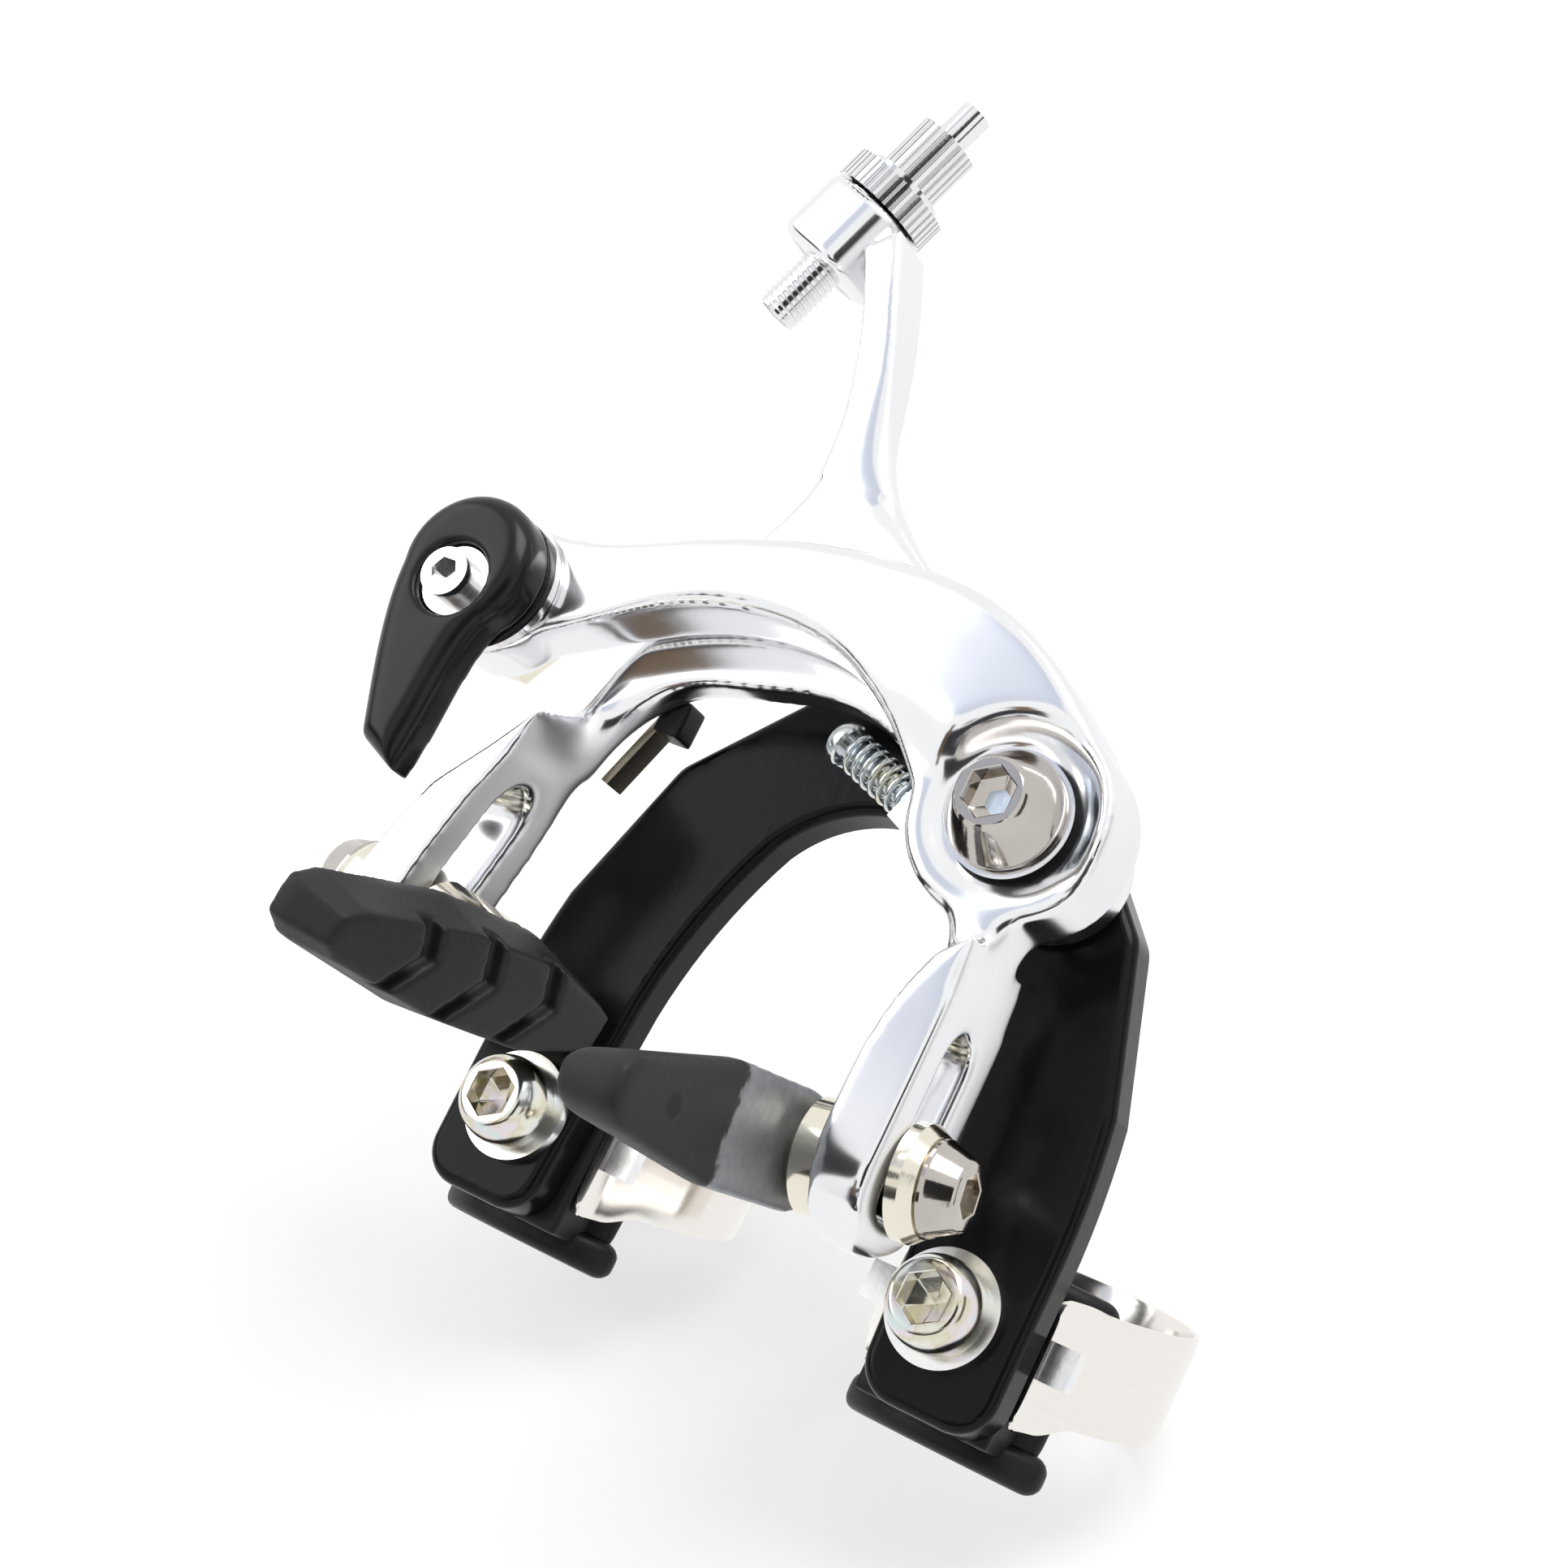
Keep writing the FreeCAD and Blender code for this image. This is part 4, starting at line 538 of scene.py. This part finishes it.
# %% Straps
def strap(name, side):
    """Heading h(s): s / R round the tube to 120 degrees, level, then back to 90. Places are the running sum."""
    radius, straight_run, bend = 16.1, 8.5, 3.2
    round_run = radius * np.radians(120)
    total = round_run + straight_run + bend
    s = np.linspace(0, total, 121)
    heading = np.minimum(s / radius, np.radians(120))
    heading -= np.radians(30) * np.clip((s - round_run - straight_run) / bend, 0, 1)
    step = np.diff(s, prepend=0.0)
    across = np.cumsum(step * np.cos(heading))
    depth = radius - np.cumsum(step * np.sin(heading))
    mirrored = np.concatenate([-across[:0:-1], across])
    depth = np.concatenate([depth[:0:-1], depth])
    run = np.concatenate([-s[:0:-1], s])
    slope = np.gradient(depth) / np.hypot(np.gradient(mirrored), np.gradient(depth))
    level = np.gradient(mirrored) / np.hypot(np.gradient(mirrored), np.gradient(depth))
    to_end = total - np.abs(run)
    corner = np.sqrt(np.clip(1 - np.clip(1 - to_end / 1.6, 0, 1) ** 2, 0, 1))
    below = 6.2 + 1.5 * smoothstep(-to_end, -9.0, -4.0) - 1.6 * (1 - corner)
    above = 6.2 + 0.4 * smoothstep(-to_end, -9.0, -4.0) - 1.6 * (1 - corner)
    thick, tall = rounded_section(20, 0.5, 1.0, 5.0)
    height = np.where(tall[None, :] > 0, tall[None, :] * above[:, None], tall[None, :] * below[:, None])
    tilt = np.tan(np.radians(10)) * (depth + clamp_depth - 7.5)
    grid = np.stack([side * clamp_across + mirrored[:, None] - slope[:, None] * thick[None, :],
                     clamp_depth + depth[:, None] + level[:, None] * thick[None, :],
                     clamp_height + height + tilt[:, None]], axis=-1)
    return surface(name, grid, "bracket", strap_steel)


strap("left_strap", -1)
right_strap = strap("right_strap", 1)
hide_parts("straps")

# %% [markdown]
# Every screw and cone here is driven by a key, so it is a turned shape with a hole that isn't round. A lathe
# tool makes only round shapes. On a grid of turn and profile, though, the radius may depend on the turn, so the
# rows of the hole follow a hexagon or a cross while the outer rows stay circles.

# %% Keyed heads
def hexagon(turn, flats):
    """Radius of a hexagon: half its width across flats over the cosine of the angle from the nearest flat."""
    from_flat = (turn + np.radians(30)) % np.radians(60) - np.radians(30)
    return flats / 2 / np.cos(from_flat)


def cross(turn, wide, long):
    """Radius of a cross: two bars, each as long as the larger and as wide as the smaller number."""
    nearest = np.minimum(np.abs(np.sin(turn)), np.abs(np.cos(turn)))
    return np.minimum(long, wide / 2 / np.maximum(nearest, 0.001))


def keyed(name, body, finish, foot, way, profile, hole, deep, replaced=()):
    """A turned head from its profile of (radius, height), with a keyed hole, standing on foot and facing way."""
    way = np.array(way, dtype=float)
    helper = np.array([0.0, 0.0, 1.0]) if abs(way[2]) < 0.8 else np.array([0.0, 1.0, 0.0])
    first = np.cross(helper, way)
    first /= np.linalg.norm(first)
    second = np.cross(way, first)
    turn = np.linspace(0, 2 * np.pi, 96, endpoint=False)
    top = profile[-1][1]
    radii = [np.full_like(turn, radius) for radius, height in profile]
    heights = [height for radius, height in profile]
    radii += [hole(turn) + 0.12, hole(turn), hole(turn), hole(turn) * 0.5, hole(turn) * 0.02]
    heights += [top, top - 0.12, top - deep, top - deep - 0.5, top - deep - 0.9]
    radii = np.array(radii)
    heights = np.array(heights)[:, None]
    spoke = np.cos(turn)[None, :, None] * first + np.sin(turn)[None, :, None] * second
    grid = np.array(foot) + radii[..., None] * spoke + heights[..., None] * way
    piece = surface(name, grid, body, finish)
    if replaced:
        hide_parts(*replaced)
    return piece


def five_key(turn):
    return hexagon(turn, 5.0)


def four_key(turn):
    return hexagon(turn, 4.0)


head_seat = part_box("clamp_washers")[0][1] / MM
dome = [(5.0, -0.02), (5.05, 1.4), (5.0, 2.6), (4.8, 3.6), (4.45, 4.5), (3.95, 5.2), (3.6, 5.4), (3.35, 5.42)]
for side, word in ((-1, "left"), (1, "right")):
    screw = keyed(word + "_clamp_head", "bracket", gold_zinc,
                  (side * clamp_across, head_seat, clamp_height), (0, -1, 0), dome, five_key, 2.6)
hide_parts("clamp_screws")

pivot_low, pivot_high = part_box("pivot_nut")
pivot_place = ((pivot_low.x + pivot_high.x) / 2 / MM, pivot_high.y / MM, (pivot_low.z + pivot_high.z) / 2 / MM)
tall = (pivot_high.y - pivot_low.y) / MM
cone = [(5.9, 0.0), (6.3, 0.3), (6.35, 0.8), (6.2, 1.1),
        (4.05, tall - 0.7), (3.75, tall - 0.2), (3.5, tall), (3.1, tall)]
keyed("pivot_cone", "bridge", dark_nickel, pivot_place, (0, -1, 0), cone, five_key, 2.6,
      ["pivot_nut"])

slim = [(4.6, 0.0), (4.9, 0.25), (4.9, 0.6), (4.65, 0.9), (3.7, 3.3), (3.45, 3.7), (3.2, 3.8)]
for word, body, side, foot, lean in (("left", "rear_arm", -1, (-50.58, -14.0, -45.08), 10.0),
                                     ("right", "front_arm", 1, (27.44, -14.0, -50.10), 8.4)):
    way = (side * np.cos(np.radians(lean)), 0, np.sin(np.radians(lean)))
    keyed(word + "_cone", body, dark_nickel, foot, way, slim, four_key, 2.2, [word + "_nut"])

# %% [markdown]
# The centring screw has a pan head with a cross recess, and a thread under a bare neck. The same turned grid
# draws all of it: the thread is a row of rings, large and small by turns, from the foot upwards.

# %% Centring screw
def cross_key(turn):
    return cross(turn, 0.8, 1.6)


shank_long = 13.5
screw_way = np.array([-0.94, 0.0, 0.342])
screw_way = screw_way / np.linalg.norm(screw_way)
screw_foot = np.array([-6.6, -7.0, -10.2]) - shank_long * screw_way
threads = [(1.5 - 0.24 * (row % 2), 0.3 + 0.35 * row) for row in range(25)]
neck = [(1.45, 9.3), (1.45, shank_long)]
pan = [(2.4, 13.5), (2.6, 13.75), (2.6, 14.2), (2.4, 14.9), (2.05, 15.3), (1.8, 15.4)]
keyed("pan_screw", "bridge", blue_zinc, screw_foot, screw_way,
      [(0.02, 0.0), (1.2, 0.0)] + threads + neck + pan, cross_key, 1.1, ["centring_screw"])

# %% [markdown]
# The adjuster screws into a square boss with round corners at the top of the upright. Its section is the same
# superellipse as the lips', carried along the adjuster's axis and pulled in at both ends for a soft edge.

# %% Adjuster boss
seat = np.array([-35.0, -7.4, 51.3])
lean_way = np.array([0.374607, 0.0, 0.927184])
lean_side = np.array([0.927184, 0.0, -0.374607])
lean_depth = np.array([0.0, 1.0, 0.0])


def on_adjuster(radius, turn, height):
    """Points round the adjuster's leaning axis: seat + height along it + radius turned about it."""
    return (seat + height[..., None] * lean_way + (radius * np.cos(turn))[..., None] * lean_side
            + (radius * np.sin(turn))[..., None] * lean_depth)


boss_height = np.linspace(-9.3, -0.1, 41)
edge_run = np.minimum(boss_height - boss_height[0], boss_height[-1] - boss_height)
boss_edge = 1.2 * (1 - np.sqrt(np.clip(1 - np.clip(1 - edge_run / 1.2, 0, 1) ** 2, 0, 1)))
across, upward = rounded_section(72, 5.75, 5.75, 3.4)
reach = np.hypot(across, upward)[None, :] - boss_edge[:, None]
turn = np.broadcast_to(np.arctan2(upward, across)[None, :], reach.shape)
height = np.broadcast_to(boss_height[:, None], reach.shape)
surface("adjuster_boss", on_adjuster(reach, turn, height), "rear_arm", polished)

# %% [markdown]
# The cable adjuster's screw shows its thread below the boss. A thread is a radius that rises and falls with
# height and turns with the angle, so one formula on a grid of angle and height draws it.

# %% Adjuster thread
turns, heights = np.meshgrid(np.linspace(0, 2 * np.pi, 40, endpoint=False), np.linspace(-17.0, -8.8, 165))
pitch = 0.8
wave = np.abs(((heights / pitch + turns / (2 * np.pi)) % 1.0) * 2.0 - 1.0)
fade = smoothstep(heights, -17.0, -16.4)
thread_radius = 2.3 + 0.45 * wave * fade
thread_radius[0] *= 0.9
surface("adjuster_thread", on_adjuster(thread_radius, turns, heights), "barrel", bright_chrome)

# %% [markdown]
# The caliper rests on its two clamps and leans back, so the table's plane is tilted in the part's own frame.
# The table is one large white plane. It takes the part's soft shadow and is clear when seen from below, so that
# it never hides the part.

# %% Table
CORNER_SIGNS = ((-1, -1), (1, -1), (1, 1), (-1, 1))
table_up = Vector((0.0, -0.751, 0.660)).normalized()
lowest = 1.0
for part in nodes.values():
    corners = np.array([v.co for v in part.data.vertices])
    lowest = min(lowest, float((corners @ np.array(table_up)).min()))
sideways = Vector((1.0, 0.0, 0.0))
along = table_up.cross(sideways)
half = 3.0
middle = table_up * lowest
table_corners = [middle + sideways * (half * a) + along * (half * b) for a, b in CORNER_SIGNS]
table_mesh = bpy.data.meshes.new("table")
table_mesh.from_pydata(table_corners, [], [(0, 1, 2, 3)])
table = bpy.data.objects.new("table", table_mesh)
bpy.context.scene.collection.objects.link(table)
if table_mesh.polygons[0].normal.dot(table_up) < 0:
    table_mesh.flip_normals()
white = Finish("table_white", Roughness=0.9, Specular_IOR_Level=0.0)
white.shader.inputs["Base Color"].default_value = (0.93, 0.93, 0.93, 1.0)
table_mesh.materials.append(white.material)
print("table is", round(lowest / MM, 2), "mm along its own up direction")

clear = white.node("ShaderNodeBsdfTransparent", {}, {"Color": (1, 1, 1, 1)})
back = white.node("ShaderNodeNewGeometry", output="Backfacing")
ray = white.node("ShaderNodeLightPath", output="Is Glossy Ray")
glow = white.node("ShaderNodeEmission", {}, {"Color": (1, 1, 1, 1), "Strength": 1.0})
lit = white.node("ShaderNodeMixShader", {}, {0: 0.55 + 0.45 * ray, 1: Wire(white, white.shader.outputs[0]), 2: glow})
shown = white.node("ShaderNodeMixShader", {}, {0: back, 1: lit, 2: clear})
white.tree.links.new(shown.socket, white.tree.nodes["Material Output"].inputs["Surface"])

# %% [markdown]
# Polished metal is drawn by what it reflects. Under an all-white sky it would vanish, so studio work puts dark
# cards round the part, out of view. Each card here is seen only by reflections.

# %% Sky, lamps and cards
world = bpy.data.worlds.new("sky")
bpy.context.scene.world = world
world.use_nodes = True
sky = world.node_tree
background = sky.nodes["Background"]
background.inputs["Color"].default_value = (1.0, 1.0, 1.0, 1.0)
path = sky.nodes.new("ShaderNodeLightPath")
seen = sky.nodes.new("ShaderNodeMath")
seen.operation = "MAXIMUM"
sky.links.new(path.outputs["Is Camera Ray"], seen.inputs[0])
sky.links.new(path.outputs["Is Glossy Ray"], seen.inputs[1])
seen_more = sky.nodes.new("ShaderNodeMath")
seen_more.operation = "MAXIMUM"
sky.links.new(seen.outputs[0], seen_more.inputs[0])
sky.links.new(path.outputs["Is Transmission Ray"], seen_more.inputs[1])
strength = sky.nodes.new("ShaderNodeMapRange")
strength.inputs["To Min"].default_value = 0.72
strength.inputs["To Max"].default_value = 1.0
sky.links.new(seen_more.outputs[0], strength.inputs["Value"])
sky.links.new(strength.outputs[0], background.inputs["Strength"])


def lamp(name, place, aim, size, watts):
    """A square lamp at a place in metres that faces a point."""
    data = bpy.data.lights.new(name, "AREA")
    data.size = size
    data.energy = watts
    made = bpy.data.objects.new(name, data)
    made.location = place
    made.rotation_mode = "QUATERNION"
    made.rotation_quaternion = (Vector(aim) - Vector(place)).to_track_quat("-Z", "Y")
    bpy.context.scene.collection.objects.link(made)


PART_MIDDLE = (0.0, 0.0, -0.02)
lamp("key", (0.25, -0.55, 0.75), PART_MIDDLE, 0.6, 6.0)
lamp("fill", (-0.6, -0.5, 0.1), PART_MIDDLE, 0.6, 2.0)


def card(name, middle, aim, wide, tall, grey):
    """A plain card that only reflections see."""
    data = bpy.data.meshes.new(name)
    facing = (Vector(aim) - Vector(middle)).normalized()
    across = facing.cross(Vector((0, 0, 1))).normalized()
    upward = across.cross(facing)
    corners = [Vector(middle) + across * (wide / 2 * a) + upward * (tall / 2 * b) for a, b in CORNER_SIGNS]
    data.from_pydata(corners, [], [(0, 1, 2, 3)])
    made = bpy.data.objects.new(name, data)
    bpy.context.scene.collection.objects.link(made)
    paper = Finish(name + "_paper")
    sheet = paper.node("ShaderNodeEmission", {}, {"Color": grey, "Strength": 1.0})
    paper.tree.links.new(sheet.socket, paper.tree.nodes["Material Output"].inputs["Surface"])
    data.materials.append(paper.material)
    made.visible_camera = False
    made.visible_diffuse = False
    made.visible_shadow = False
    made.visible_transmission = False


camera_card = camera_place + camera_back * 0.45
card("card_room", tuple(camera_card), PART_MIDDLE, 0.42, 0.5, (0.03, 0.03, 0.03, 1))
card("card_blue", (-0.42, -0.78, 0.22), PART_MIDDLE, 0.5, 0.36, (0.66, 0.70, 0.80, 1))
card("card_brown", (-0.16, -0.70, -0.42), PART_MIDDLE, 0.12, 0.30, (0.16, 0.10, 0.05, 1))
card("card_low", (0.10, -0.60, -0.62), PART_MIDDLE, 0.9, 0.35, (0.03, 0.03, 0.035, 1))
card("card_left", (-0.75, -0.35, -0.05), PART_MIDDLE, 0.25, 0.9, (0.05, 0.045, 0.04, 1))
card("card_right", (0.85, -0.15, 0.10), PART_MIDDLE, 0.2, 0.9, (0.10, 0.09, 0.08, 1))

# %% [markdown]
# Last, the view transform is set to Standard.

# %% View transform
bpy.context.scene.view_settings.view_transform = "Standard"
